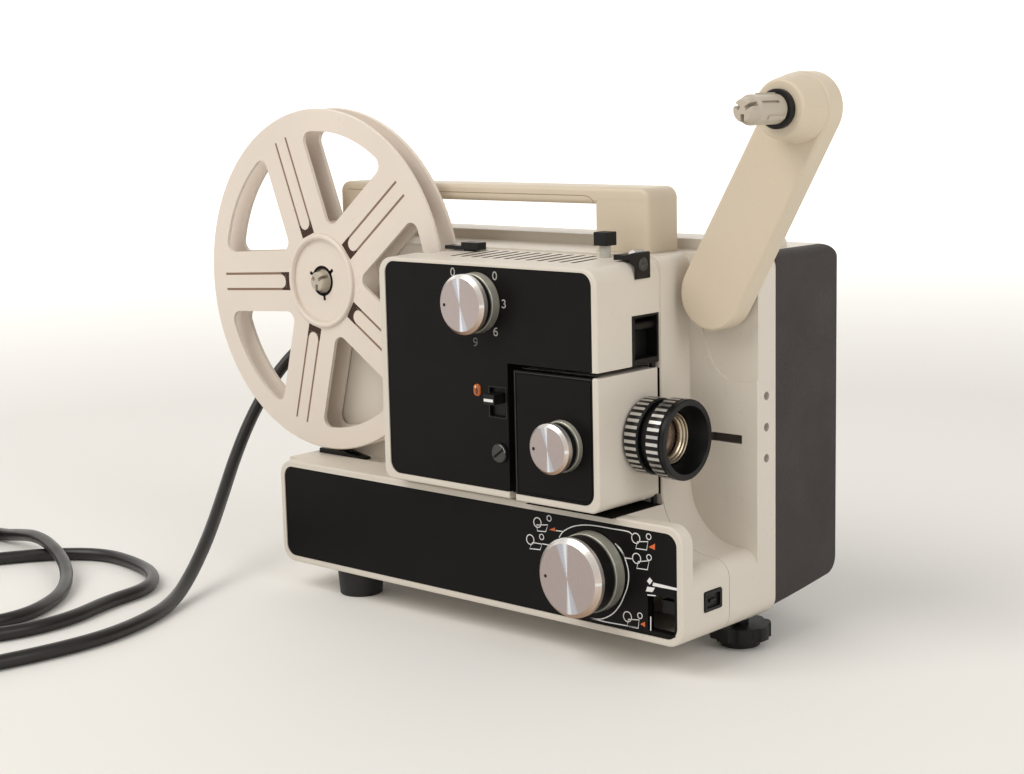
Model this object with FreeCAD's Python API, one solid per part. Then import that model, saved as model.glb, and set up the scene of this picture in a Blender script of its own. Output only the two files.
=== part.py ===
import FreeCAD, Part
import math
import os

# Dual gauge 8 mm film projector: a low base module, a head with the film path
# and lens, a body behind them, a dark rear cover, a folding supply arm and a
# take-up reel on the left.
#
# Millimetres. While it is drawn, x = 0 is the right end (the lens side), y = 0
# the front of the base module, z = 0 the table. At the end all pieces move so
# that the origin is the middle of the footprint, with the cord left out of it.

V = FreeCAD.Vector

# Fits
SEAT_GAP = 0.2          # a piece lying on its seat
SHAFT_FIT = 0.05        # radial play of a shaft in its hole
CLEAR = 0.5             # pieces that pass each other
WALL = 2.6              # moulded housing wall

# Base module
BODY_LENGTH = 264.6
LEFT = -BODY_LENGTH
FOOT_HEIGHT = 14.0
BASE_TOP = 68.3
BASE_DEPTH = 34.3
BASE_CORNER = 8.5
RIM_WIDTH = 3.2
RIM_DEPTH = 7.3
PANEL_INSET = 0.5       # the black panels lie this far below their rims
PANEL_THICKNESS = 1.8
PANEL_CORNER = 6.0
FLANGE_DEPTH = 6.0      # how far a black panel turns back round an open edge
PANEL_FLANGE = 0.8
EDGE_ROUND = 1.0
SEAM_SIZE = 0.4

# Stepped right end: a tall wall, a concave sweep and a ledge
STEP_X = -37.5
LEDGE_Z = 47.4
LEDGE_ROUND = 8.0
COVE_RADIUS = 28.0

# Body behind the base module and head
BODY_TOP = 182.0
BODY_BACK = 71.0
RECESS_BACK = 56.5      # the arm folds down in front of this wall
TOP_ROUND = 6.0
STRIP_HOLE_RADIUS = 2.0
STRIP_HOLE_Y = 63.9
STRIP_HOLE_TOP = 118.0
STRIP_HOLE_PITCH = 14.4
RECESS_SLOT_X = -24.6
RECESS_SLOT_LENGTH = 16.2
RECESS_SLOT_Z = 95.9
RECESS_SLOT_HEIGHT = 4.1
RECESS_SLOT_DEPTH = 2.0

# Rear cover and top deck
COVER_BACK = 122.1
COVER_TOP = 183.0
COVER_LOW_FRONT = 18.8
COVER_LOW_BACK = 25.1
COVER_MARGIN = 5.7      # dark edge round the pale deck
DECK_THICKNESS = 2.5
RIDGE_TOP = 187.0
RIDGE_DEPTH = 24.0
RIDGE_END_MARGIN = 10.0
LOUVRE_COUNT = 12
LOUVRE_PITCH = 9.0
LOUVRE_WIDTH = 3.4
LOUVRE_HEIGHT = 46.0
LOUVRE_LOW = 92.0
COVER_SCREW_X = (LEFT + 18.6, -18.6)
COVER_SCREW_Z = (40.0, 168.0)
SCREW_HEAD_RADIUS = 3.2
SCREW_HEAD_HEIGHT = 1.8
SCREW_SHANK_RADIUS = 1.5
SCREW_LENGTH = 9.0

# Head
HEAD_LEFT = -173.9
HEAD_RIGHT = -38.0
HEAD_FRONT = -10.1
HEAD_LOW = 71.4
HEAD_TOP_FRONT = 179.8
HEAD_TOP_BACK = 181.3
HEAD_LOW_CORNER = 5.0
HEAD_TOP_CORNER = 8.0
WING_BACK = 9.0         # the left end is shallow, the reel turns behind it
WING_RIGHT = -157.5
VENT_COUNT = 12
VENT_PITCH = 6.8
VENT_WIDTH = 2.6
VENT_FIRST_X = -139.4
VENT_FRONT = 5.0
VENT_BACK = 30.6
SIDE_WINDOW_FRONT = 14.3
SIDE_WINDOW_HIGH = 157.0
SIDE_WINDOW_DEPTH = 8.0
SIDE_WINDOW_WALL = 1.2

# Lens door
DOOR_LEFT = -88.0
DOOR_TOP = 131.9
DOOR_LOW = 71.0
DOOR_BACK = 34.0
BAY_LEFT = -91.5
BAY_TOP = 134.4
HINGE_X = -40.2
HINGE_Y = 31.8
HINGE_PIN_RADIUS = 1.4
HINGE_PIN_REACH = 14.0  # how far each pin enters the door
DOOR_SWING_POCKET = 5.5
DOOR_OPEN_ANGLE = 26
DOOR_REAR_ROUND = 5.0

# Optics
LENS_Y = 23.4
LENS_Z = 102.3
LENS_TUBE_RADIUS = 8.5
LENS_TUBE_BORE = 7.0
FRONT_GLASS_RADIUS = 10.8
LENS_TUBE_LENGTH = 42.0
LENS_GAP = 0.6          # from the door to the lens grip, focused far
GRIP_RADIUS = 17.2
GRIP_LENGTH = 8.0
GROOVE_LENGTH = 5.0
GROOVE_RADIUS = 15.2
ZOOM_LENGTH = 7.5
BEZEL_LENGTH = 2.5
BEZEL_RADIUS = 18.3
CONE_OUTER = 15.5
CONE_INNER = 12.0
GATE_THICKNESS = 1.0
APERTURE_WIDTH = 5.8
APERTURE_HEIGHT = 4.3
LAMP_RADIUS = 25.0
LAMP_FRONT_X = -113.0
LAMP_DEPTH = 24.0
SHUTTER_X = -98.6
SHUTTER_RADIUS = 38.0
SHUTTER_THICKNESS = 0.8

# Drive
SHAFT_Y = 54.0
SHAFT_Z = 122.0
SHAFT_RADIUS = 3.0
SHAFT_LEFT = -180.0
SHAFT_RIGHT = -84.0
DRIVEN_PULLEY_RADIUS = 14.0
MOTOR_Y = 91.0
MOTOR_Z = 62.0
MOTOR_RADIUS = 24.0
MOTOR_LEFT = -165.0
MOTOR_LENGTH = 55.0
MOTOR_PULLEY_RADIUS = 7.0
MOTOR_SHAFT_RADIUS = 2.5
FAN_RADIUS = 27.0
FAN_WIDTH = 12.0
BELT_X = -177.0
BELT_WIDTH = 4.0
BELT_THICKNESS = 1.4

# Knobs: centre x, z, and the radii and heights of their three layers
SPEED_X = -109.3
SPEED_Z = 161.3
SPEED_KNOB = {"skirt": (14.2, 4.6), "ring": (13.4, 2.6), "cap": (13.9, 4.5)}
FOCUS_X = -59.0
FOCUS_Z = 99.8
FOCUS_KNOB = {"skirt": (12.0, 2.7), "ring": (11.1, 3.5), "cap": (11.5, 4.4)}
SELECTOR_X = -50.9
SELECTOR_Z = 41.6
SELECTOR_KNOB = {"skirt": (18.7, 5.7), "ring": (17.8, 7.7), "cap": (18.3, 4.7)}
KNOB_SHAFT_RADIUS = 3.0
CAP_BEVEL = 0.12        # bevel of a metal cap, as a part of its radius
DIMPLE_RADIUS = 1.1
DIMPLE_ASIDE = 0.62    # share of the cap's radius, to the left
DIMPLE_UP = 0.1

# Small controls
LIGHT_X = -110.6
LIGHT_Z = 120.5
LIGHT_WIDTH = 4.5
LIGHT_HEIGHT = 6.0
SWITCH_X = -102.9
SWITCH_Z = 109.2
SWITCH_WIDTH = 9.6
SWITCH_HEIGHT = 13.3
SWITCH_KEY_WIDTH = 6.7
SWITCH_KEY_LOW = 115.5
SWITCH_KEY_HEIGHT = 4.8
SWITCH_KEY_REACH = 5.7
SWITCH_TRAVEL = 5.9
LOCK_X = -97.0
LOCK_Z = 92.3
LOCK_RADIUS = 4.7
FRAMING_X = -63.8
FRAMING_Y = 28.0
FRAMING_STEM_RADIUS = 2.6
FRAMING_WIDTH = 7.8
FRAMING_DEPTH = 8.0
FRAMING_LOW = 186.6
FRAMING_HIGH = 192.8
LEVER_X = -160.0
LEVER_LENGTH = 22.0
LEVER_FRONT = 22.0
LEVER_WIDTH = 6.0
LEVER_LOW = 181.6
LEVER_STEP = 183.3
LEVER_HIGH = 185.2
LEVER_TRAVEL = 5.0
BUTTON_FRONT = 15.2
BUTTON_BACK = 28.6
BUTTON_LOW = 27.2
BUTTON_HIGH = 36.8
BUTTON_TRAVEL = 4.0
TRIMMER_WINDOW_LEFT = -19.8
TRIMMER_WINDOW_RIGHT = -5.0
TRIMMER_WINDOW_LOW = 19.6
TRIMMER_WINDOW_HIGH = 36.2

# Handle
HANDLE_LEFT = LEFT + 9.1
HANDLE_RIGHT = -49.5
HANDLE_FRONT = 42.0
HANDLE_BACK = 65.0
HANDLE_TOP = 212.0
HANDLE_GRIP = 8.0
HANDLE_POST = 32.0
HANDLE_TRAVEL = 18.5
HANDLE_GUIDE = 7.5      # post length held by the body at the top of the travel
HANDLE_HIDDEN = HANDLE_TRAVEL + HANDLE_GUIDE
HANDLE_ROUND = 6.0

# Supply arm
ARM_PIVOT_X = -17.1
ARM_PIVOT_Z = 165.0
ARM_PIVOT_RADIUS = 16.4
ARM_LENGTH = 94.6
ARM_ANGLE = 60.3        # above the horizontal, raised
ARM_END_RADIUS = 15.5
ARM_FRONT = 44.0
ARM_THICKNESS = 11.6
ARM_SKIN = 2.0
PIVOT_TUBE_RADIUS = 8.0
BOSS_LENGTH = 14.6
BOSS_BASE_RADIUS = 15.0
BOSS_FACE_RADIUS = 12.4
SPINDLE_RING_RADIUS = 8.4
SPINDLE_RING_WIDTH = 3.0
SPINDLE_RADIUS = 6.35
SPINDLE_LENGTH = 23.4
SPINDLE_CORE_RADIUS = 3.0
ARM_PULLEY_RADIUS = 9.0

# Take-up reel
REEL_X = LEFT + 15.9
REEL_Z = 161.3
REEL_RADIUS = 89.0
REEL_FRONT = 20.3
REEL_WIDTH = 13.0
FLANGE_THICKNESS = 1.9
WINDOW_COUNT = 5
FIRST_WINDOW_ANGLE = 3.2
WINDOW_OUTER_RADIUS = 77.5
WINDOW_CORNER = 5.0
SPOKE_HALF_WIDTH = 16.2
SPOKE_SLOT_OFFSET = 4.2
SPOKE_SLOT_WIDTH = 1.3
SPOKE_SLOT_INNER = 25.0
SPOKE_SLOT_OUTER = 78.0
TONGUE_END = 28.5
HUB_RADIUS = 31.0
HUB_RIM_OUTER = 24.8
HUB_RIM_INNER = 21.5
HUB_RIM_RISE = 0.7
HUB_HOLE = 7.0
TAKEUP_SHAFT_RADIUS = 4.0
TAKEUP_BEARING = 6.9    # length of the bearing boss, which ends ahead of the handle post

# Feet
FIXED_FOOT_X = LEFT + 43.6
FRONT_FOOT_Y = 15.0
REAR_FOOT_Y = 107.0
FOOT_RADIUS = 12.0
FOOT_STEM_RADIUS = 4.0
SCREW_FOOT_X = -12.9
SCREW_FOOT_Y = 61.0
SCREW_FOOT_PAD = 10.2
SCREW_FOOT_WHEEL = 14.3
SCREW_FOOT_LOBES = 8
SCREW_RADIUS = 4.0

# Mains lead
CORD_RADIUS = 3.5
CORD_EXIT_Y = 100.0
CORD_EXIT_Z = 128.0
RELIEF_LENGTH = 24.0
RELIEF_BASE_RADIUS = 6.5
RELIEF_TIP_RADIUS = 4.6
ON_TABLE = 3.6          # axis of a cord that lies on the table
CORD_ROUTE = (
    (-308.0, 100.0, 128.0),
    (-326.0, 93.0, 123.0),
    (-339.0, 82.0, 112.5),
    (-344.5, 67.0, 97.0),
    (-342.5, 47.5, 77.5),
    (-334.5, 27.0, 57.0),
    (-321.5, 6.0, 39.0),
    (-305.5, -17.0, 24.0),
    (-289.5, -41.5, 11.5),
    (-273.0, -67.0, ON_TABLE),
    (-257.5, -97.0, ON_TABLE),
    (-250.0, -127.0, ON_TABLE),
    (-251.5, -158.0, ON_TABLE),
    (-257.5, -188.0, ON_TABLE),
    (-258.4, -216.0, ON_TABLE),
    (-259.2, -243.5, ON_TABLE),
    (-274.8, -265.0, ON_TABLE),
    (-299.0, -273.0, ON_TABLE),
    (-323.7, -265.0, ON_TABLE),
    (-338.7, -244.0, ON_TABLE),
    (-338.4, -217.0, ON_TABLE),
    (-321.4, -193.7, ON_TABLE),
    (-302.1, -170.7, ON_TABLE),
    (-291.0, -145.0, ON_TABLE),
    (-290.5, -116.0, ON_TABLE),
    (-301.5, -87.5, ON_TABLE),
    (-305.5, -58.0, ON_TABLE),
    (-327.0, -38.0, ON_TABLE),
    (-357.0, -29.5, ON_TABLE),
    (-387.0, -28.5, ON_TABLE),
    (-411.0, -46.5, ON_TABLE),
    (-427.0, -72.0, ON_TABLE),
    (-438.0, -100.0, ON_TABLE),
    (-438.5, -130.0, ON_TABLE),
    (-426.0, -160.0, ON_TABLE),
    (-403.0, -181.0, ON_TABLE),
    (-373.0, -188.0, ON_TABLE),
    (-343.0, -182.0, ON_TABLE),
    (-320.0, -161.0, ON_TABLE),
    (-312.0, -131.0, ON_TABLE),
    (-325.5, -103.0, ON_TABLE),
    (-345.0, -82.0, 4.0),
    (-368.0, -66.0, 7.8),
    (-397.0, -54.5, 11.7),
    (-426.0, -46.0, 11.7),
    (-451.0, -41.0, 7.8),
    (-474.0, -37.5, ON_TABLE),
    (-497.0, -37.5, ON_TABLE),
)
COIL_TURNS = 3.25
COIL_MIDDLE_RADIUS = 38.5
COIL_PITCH = 7.8
COIL_LAYER_STEP = 7.6
COIL_TAIL = 28.0        # straight end of the coil, past its own lower turn
COIL_START_HEADING = V(-1, 0, 0)
PLUG_LENGTH = 38.0
PLUG_WIDTH = 24.0
PLUG_LIFT = 0.1         # the plug's flat side over the table
PIN_LENGTH = 19.0
PIN_RADIUS = 2.4
PIN_SPACING = 19.0

# Origin: the middle of the footprint, worked out from the outermost pieces
ARM_TIP_X = ARM_PIVOT_X + ARM_LENGTH * math.cos(math.radians(ARM_ANGLE))
ARM_TIP_Z = ARM_PIVOT_Z + ARM_LENGTH * math.sin(math.radians(ARM_ANGLE))
LEFT_MOST = REEL_X - REEL_RADIUS
RIGHT_MOST = ARM_TIP_X + ARM_END_RADIUS
FRONT_MOST = HEAD_FRONT + PANEL_INSET - sum(layer[1] for layer in SPEED_KNOB.values()) - SEAT_GAP
BACK_MOST = COVER_BACK
ORIGIN = V((LEFT_MOST + RIGHT_MOST) / 2, (FRONT_MOST + BACK_MOST) / 2, 0)

PANEL_BACK = PANEL_INSET + PANEL_THICKNESS


# Drawing helpers

def on_front(point, at):
    """A point of an outline seen from the front, at depth y."""
    return V(point.x, at, point.y)


def on_side(point, at):
    """A point of an outline seen from the side, at x."""
    return V(at, point.x, point.y)


def on_top(point, at):
    """A point of an outline seen from above, at height z."""
    return V(point.x, point.y, at)


GROWS = {on_front: V(0, 1, 0), on_side: V(1, 0, 0), on_top: V(0, 0, 1)}


def rounded_wire(corners, view, at):
    """A closed outline through corners (u, v, corner radius)."""
    points = [V(u, v, 0) for u, v, radius in corners]
    trims = []
    for i, (u, v, radius) in enumerate(corners):
        here = points[i]
        if radius <= 0:
            trims.append((here, None, here))
            continue
        back = (points[i - 1] - here).normalize()
        ahead = (points[(i + 1) % len(points)] - here).normalize()
        half = back.getAngle(ahead) / 2
        centre = here + (back + ahead).normalize() * (radius / math.sin(half))
        middle = centre + (here - centre).normalize() * radius
        reach = radius / math.tan(half)
        trims.append((here + back * reach, middle, here + ahead * reach))
    edges = []
    for i, (start, middle, end) in enumerate(trims):
        if middle is not None:
            edges.append(Part.Arc(view(start, at), view(middle, at), view(end, at)).toShape())
        following = trims[(i + 1) % len(trims)][0]
        if (following - end).Length > 1e-6:
            edges.append(Part.LineSegment(view(end, at), view(following, at)).toShape())
    return Part.Wire(edges)


def slab(corners, view, start, depth):
    """A flat piece with a rounded outline, from start over depth."""
    return Part.Face(rounded_wire(corners, view, start)).extrude(GROWS[view] * depth)


def rectangle(u0, u1, v0, v1, radius=0.0):
    return [(u0, v0, radius), (u1, v0, radius), (u1, v1, radius), (u0, v1, radius)]


def block(x0, x1, y0, y1, z0, z1):
    return Part.makeBox(x1 - x0, y1 - y0, z1 - z0, V(x0, y0, z0))


def rod(radius, start, direction, length):
    return Part.makeCylinder(radius, length, V(*start), V(*direction))


def tube(outer, inner, start, direction, length):
    return rod(outer, start, direction, length).cut(rod(inner, start, direction, length))


def turned(profile, start, direction):
    """A turned piece. Its profile is (radius, distance along the axis, corner radius)."""
    face = Part.Face(rounded_wire(profile, lambda p, at: V(p.x, at, p.y), 0))
    shape = face.revolve(V(0, 0, 0), V(0, 0, 1), 360)
    shape.Placement = FreeCAD.Placement(V(*start), FreeCAD.Rotation(V(0, 0, 1), V(*direction)))
    return shape


def straight_edges(shape, axis):
    """The straight edges that run along one axis."""
    found = []
    for edge in shape.Edges:
        box = edge.BoundBox
        size = {"x": box.XLength, "y": box.YLength, "z": box.ZLength}
        others = [size[name] for name in size if name != axis]
        if max(others) < 1e-4 and size[axis] > 1e-3:
            found.append(edge)
    return found


def edges_in_plane(shape, axis, at):
    """The edges that lie in one plane square to an axis."""
    low = {"x": "XMin", "y": "YMin", "z": "ZMin"}[axis]
    high = {"x": "XMax", "y": "YMax", "z": "ZMax"}[axis]
    return [e for e in shape.Edges
            if abs(getattr(e.BoundBox, low) - at) < 1e-4 and abs(getattr(e.BoundBox, high) - at) < 1e-4]


def two_circle_wire(first, r1, second, r2, at):
    """The outline that a tight belt has round two circles (x, z), seen from the front."""
    span = V(second[0] - first[0], second[1] - first[1], 0)
    heading = math.atan2(span.y, span.x)
    spread = math.acos((r1 - r2) / span.Length)

    def rim(centre, radius, angle):
        return V(centre[0] + radius * math.cos(angle), at, centre[1] + radius * math.sin(angle))

    a0, a1 = rim(first, r1, heading + spread), rim(first, r1, heading - spread)
    b0, b1 = rim(second, r2, heading + spread), rim(second, r2, heading - spread)
    return Part.Wire([
        Part.Arc(a0, rim(first, r1, heading + math.pi), a1).toShape(),
        Part.LineSegment(a1, b1).toShape(),
        Part.Arc(b1, rim(second, r2, heading), b0).toShape(),
        Part.LineSegment(b0, a0).toShape(),
    ])


def two_circle_slab(first, r1, second, r2, start, depth):
    return Part.Face(two_circle_wire(first, r1, second, r2, start)).extrude(V(0, depth, 0))


# Base module and body

def stepped_outline(inset, top):
    """Front view of the body with its stepped right end, drawn in by inset."""
    corner = BASE_CORNER - inset
    return [
        (LEFT + inset, FOOT_HEIGHT + inset, corner),
        (-inset, FOOT_HEIGHT + inset, corner),
        (-inset, LEDGE_Z - inset, LEDGE_ROUND - inset),
        (STEP_X - inset, LEDGE_Z - inset, COVE_RADIUS + inset),
        (STEP_X - inset, top - inset, TOP_ROUND - inset),
        (LEFT + inset, top - inset, TOP_ROUND - inset),
    ]


def stepped_slab(inset, top, start, depth):
    return slab(stepped_outline(inset, top), on_front, start, depth)


def panel_outline(left, right, low, high, play):
    return rectangle(left + play, right - play, low + play, high - play, PANEL_CORNER - play)


def base_panel_outline(play):
    return panel_outline(LEFT + RIM_WIDTH, -RIM_WIDTH, FOOT_HEIGHT + RIM_WIDTH, BASE_TOP - RIM_WIDTH, play)


def trimmer_window(play, start, depth):
    outline = rectangle(TRIMMER_WINDOW_LEFT - play, TRIMMER_WINDOW_RIGHT + play,
                        TRIMMER_WINDOW_LOW - play, TRIMMER_WINDOW_HIGH + play, 1.0)
    return slab(outline, on_front, start, depth)


def base_shell():
    frame = slab(rectangle(LEFT, 0, FOOT_HEIGHT, BASE_TOP, BASE_CORNER), on_front, 0, RIM_DEPTH)
    frame = frame.makeFillet(EDGE_ROUND, edges_in_plane(frame, "y", 0))
    behind = stepped_slab(0, BODY_TOP, RIM_DEPTH, BASE_DEPTH - RIM_DEPTH)
    behind = behind.cut(block(LEFT - 1, 1, -1, BASE_DEPTH + 1, BASE_TOP, BODY_TOP + 1))
    shell = frame.fuse(behind)
    hollow = stepped_slab(WALL, BODY_TOP, PANEL_BACK + WALL, BASE_DEPTH)
    hollow = hollow.cut(block(LEFT, 0, -1, BASE_DEPTH * 2, BASE_TOP - WALL, BODY_TOP))
    shell = shell.cut(hollow)
    shell = shell.cut(slab(base_panel_outline(0), on_front, -1, 1 + PANEL_BACK))
    shell = shell.cut(rod(KNOB_SHAFT_RADIUS + CLEAR, (SELECTOR_X, 0, SELECTOR_Z), (0, 1, 0),
                          BASE_DEPTH / 2))
    shell = shell.cut(trimmer_window(PANEL_FLANGE + SEAT_GAP / 2, 0, BASE_DEPTH / 2))
    shell = shell.cut(button_opening())
    shell = shell.cut(exit_channel())
    shell = shell.cut(rod(HINGE_PIN_RADIUS, (HINGE_X, HINGE_Y, BASE_TOP - WALL), (0, 0, 1), WALL * 2))
    shell = shell.fuse(rod(FOOT_STEM_RADIUS + WALL, (FIXED_FOOT_X, FRONT_FOOT_Y, FOOT_HEIGHT), (0, 0, 1),
                           WALL * 3))
    shell = shell.cut(foot_stem_hole(FRONT_FOOT_Y))
    return shell.removeSplitter()


def foot_stem_hole(y):
    return rod(FOOT_STEM_RADIUS, (FIXED_FOOT_X, y, FOOT_HEIGHT - 1), (0, 0, 1), WALL * 3 + 2)


def button_opening():
    outline = rectangle(BUTTON_FRONT, BUTTON_BACK, BUTTON_LOW, BUTTON_HIGH, 1.0)
    return slab(outline, on_side, -WALL * 1.5, WALL * 3)


EXIT_LEFT = LEFT + 3.6
EXIT_RIGHT = EXIT_LEFT + 49.0
EXIT_FRONT = 24.6
EXIT_BACK = 33.4
EXIT_DEPTH = 1.6


def exit_channel():
    """Shallow film channel in the base top, under the take-up reel."""
    return block(EXIT_LEFT, EXIT_RIGHT, EXIT_FRONT, EXIT_BACK, BASE_TOP - EXIT_DEPTH, BASE_TOP + 1)


def base_front_panel():
    panel = slab(base_panel_outline(SEAT_GAP / 2), on_front, PANEL_INSET, PANEL_THICKNESS)
    panel = panel.cut(rod(KNOB_SHAFT_RADIUS + CLEAR, (SELECTOR_X, 0, SELECTOR_Z), (0, 1, 0), RIM_DEPTH))
    panel = panel.fuse(trimmer_window(PANEL_FLANGE, PANEL_INSET, PANEL_THICKNESS + WALL))
    return panel.cut(trimmer_window(0, 0, RIM_DEPTH)).removeSplitter()


def arm_socket_outline():
    """Outline of the turning relief that the arm's lower end sweeps in the recess wall."""
    return two_circle_wire((ARM_PIVOT_X, ARM_PIVOT_Z), ARM_PIVOT_RADIUS + 1.6,
                           (ARM_PIVOT_X + 7.6, ARM_PIVOT_Z - 23.2), ARM_PIVOT_RADIUS + 1.6, RECESS_BACK - 1)


ARM_RELIEF_DEPTH = 0.8


def lens_swing_pocket():
    """Room for the lens grip as it turns with the open door."""
    grip = rod(GRIP_RADIUS + 0.8, (GRIP_LEFT - 0.8, LENS_Y, LENS_Z), (1, 0, 0), GRIP_LENGTH)
    pocket = grip.copy()
    for angle in range(2, DOOR_OPEN_ANGLE + 1, 2):
        turned_grip = grip.copy()
        turned_grip.rotate(V(HINGE_X, HINGE_Y, 0), V(0, 0, 1), angle)
        pocket = pocket.fuse(turned_grip)
    return pocket


def main_body():
    front = stepped_slab(0, BODY_TOP, BASE_DEPTH, RECESS_BACK - BASE_DEPTH + 1)
    back = slab([(LEFT, FOOT_HEIGHT, BASE_CORNER), (0, FOOT_HEIGHT, BASE_CORNER),
                 (0, BODY_TOP, TOP_ROUND), (LEFT, BODY_TOP, TOP_ROUND)],
                on_front, RECESS_BACK, BODY_BACK - RECESS_BACK)
    front_hollow = stepped_slab(WALL, BODY_TOP, BASE_DEPTH + WALL, BODY_BACK)
    pocket = (STEP_X - DOOR_SWING_POCKET, STEP_X + 1, BASE_DEPTH - 1, LENS_Y + BEZEL_RADIUS + 4,
              LENS_Z - BEZEL_RADIUS - 1, LENS_Z + BEZEL_RADIUS + 1)
    front_hollow = front_hollow.cut(block(pocket[0] - WALL, pocket[1], pocket[2], pocket[3] + WALL,
                                          pocket[4] - WALL, pocket[5] + WALL))
    back_hollow = slab([(LEFT + WALL, FOOT_HEIGHT + WALL, BASE_CORNER - WALL),
                        (-WALL, FOOT_HEIGHT + WALL, BASE_CORNER - WALL),
                        (-WALL, BODY_TOP - WALL, TOP_ROUND - WALL),
                        (LEFT + WALL, BODY_TOP - WALL, TOP_ROUND - WALL)],
                       on_front, RECESS_BACK + WALL, BODY_BACK)
    shell = front.fuse(back).cut(front_hollow.fuse(back_hollow))
    shell = shell.fuse(rod(PIVOT_TUBE_RADIUS + WALL, (ARM_PIVOT_X, RECESS_BACK, ARM_PIVOT_Z), (0, 1, 0),
                           BODY_BACK - RECESS_BACK))
    shell = shell.fuse(rod(TAKEUP_SHAFT_RADIUS + WALL, (REEL_X, BASE_DEPTH, REEL_Z), (0, 1, 0),
                           TAKEUP_BEARING))
    shell = shell.fuse(rod(SCREW_RADIUS + WALL, (SCREW_FOOT_X, SCREW_FOOT_Y, FOOT_HEIGHT), (0, 0, 1), 14))
    shell = shell.cut(lens_swing_pocket().common(block(*pocket)))
    shell = shell.cut(Part.Face(arm_socket_outline()).extrude(V(0, 1 + ARM_RELIEF_DEPTH, 0)))
    shell = shell.cut(rod(PIVOT_TUBE_RADIUS, (ARM_PIVOT_X, RECESS_BACK - 1, ARM_PIVOT_Z), (0, 1, 0),
                          BODY_BACK))
    shell = shell.cut(rod(TAKEUP_SHAFT_RADIUS + SHAFT_FIT, (REEL_X, BASE_DEPTH - 1, REEL_Z), (0, 1, 0), 30))
    shell = shell.cut(rod(SCREW_RADIUS + SHAFT_FIT, (SCREW_FOOT_X, SCREW_FOOT_Y, 0), (0, 0, 1), 40))
    shell = shell.cut(lamp_opening())
    shell = shell.cut(seam_groove())
    shell = shell.cut(recess_slot())
    for i in range(3):
        shell = shell.cut(rod(STRIP_HOLE_RADIUS, (-WALL * 1.5, STRIP_HOLE_Y,
                                                  STRIP_HOLE_TOP - i * STRIP_HOLE_PITCH),
                              (1, 0, 0), WALL * 3))
    for left in (HANDLE_LEFT, HANDLE_RIGHT - HANDLE_POST):
        shell = shell.cut(handle_opening(left))
    return shell.removeSplitter()


def seam_groove():
    """Fine groove round the joint between the base module and the body."""
    outside = stepped_slab(-0.5, BODY_TOP, BASE_DEPTH - 1, 1 + SEAM_SIZE)
    return outside.cut(stepped_slab(SEAM_SIZE, BODY_TOP - SEAM_SIZE, BASE_DEPTH - 2, 4))


def lamp_opening():
    """Window in the body's front wall through which the lamp and shutter reach."""
    return slab(rectangle(WING_RIGHT + 3, BAY_LEFT - WALL * 1.5, HEAD_LOW + 6, HEAD_TOP_FRONT - 6, 4),
                on_front, BASE_DEPTH - 1, WALL + 2)


def recess_slot():
    return block(RECESS_SLOT_X, RECESS_SLOT_X + RECESS_SLOT_LENGTH, RECESS_BACK - 1,
                 RECESS_BACK + RECESS_SLOT_DEPTH, RECESS_SLOT_Z, RECESS_SLOT_Z + RECESS_SLOT_HEIGHT)


def handle_opening(left):
    return slab(rectangle(left - CLEAR, left + HANDLE_POST + CLEAR, HANDLE_FRONT - CLEAR,
                          HANDLE_BACK + CLEAR, 3),
                on_top, BODY_TOP - WALL * 2, WALL * 4)


# Rear cover and deck

def cover_solid(inset, front):
    outline = [(LEFT + inset, FOOT_HEIGHT + inset, BASE_CORNER - inset),
               (-inset, FOOT_HEIGHT + inset, BASE_CORNER - inset),
               (-inset, COVER_TOP - inset, TOP_ROUND - inset),
               (LEFT + inset, COVER_TOP - inset, TOP_ROUND - inset)]
    side = [(front, COVER_LOW_FRONT + inset, 0), (COVER_BACK - inset, COVER_LOW_BACK + inset, 8 - inset),
            (COVER_BACK - inset, COVER_TOP - inset, 7 - inset), (front, COVER_TOP - inset, 0)]
    whole = slab(outline, on_front, front, COVER_BACK - front)
    return whole.common(slab(side, on_side, LEFT - 1, BODY_LENGTH + 2))


def deck_outline(play):
    return rectangle(LEFT + COVER_MARGIN + play, -COVER_MARGIN - play, BODY_BACK - 1,
                     COVER_BACK - 4.4 - play, 3)


def rear_cover():
    cover = cover_solid(0, BODY_BACK).cut(cover_solid(WALL, BODY_BACK - 1))
    cover = cover.cut(slab(deck_outline(0), on_top, COVER_TOP - WALL * 2, WALL * 3))
    middle = LEFT / 2
    for i in range(LOUVRE_COUNT):
        x = middle + (i - (LOUVRE_COUNT - 1) / 2) * LOUVRE_PITCH
        outline = rectangle(x - LOUVRE_WIDTH / 2, x + LOUVRE_WIDTH / 2, LOUVRE_LOW,
                            LOUVRE_LOW + LOUVRE_HEIGHT, 1.6)
        cover = cover.cut(slab(outline, on_front, COVER_BACK - WALL - 1, WALL + 2))
    for x in COVER_SCREW_X:
        for z in COVER_SCREW_Z:
            cover = cover.fuse(rod(SCREW_HEAD_RADIUS + WALL, (x, COVER_BACK - SCREW_LENGTH - 4, z),
                                   (0, 1, 0),
                                   SCREW_LENGTH + 3.5))
            cover = cover.cut(rod(SCREW_HEAD_RADIUS + SEAT_GAP,
                                  (x, COVER_BACK - SCREW_HEAD_HEIGHT - 0.6, z),
                                  (0, 1, 0), WALL * 2))
            cover = cover.cut(rod(SCREW_SHANK_RADIUS, (x, COVER_BACK - SCREW_LENGTH - 6, z), (0, 1, 0), 30))
    cover = cover.fuse(rod(FOOT_RADIUS, (FIXED_FOOT_X, REAR_FOOT_Y, FOOT_HEIGHT), (0, 0, 1),
                           COVER_LOW_BACK - FOOT_HEIGHT))
    cover = cover.cut(foot_stem_hole(REAR_FOOT_Y))
    cover = cover.cut(rod(RELIEF_BASE_RADIUS - 1.5, (LEFT - 1, CORD_EXIT_Y, CORD_EXIT_Z), (1, 0, 0),
                          WALL + 2))
    return cover.removeSplitter()


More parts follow.
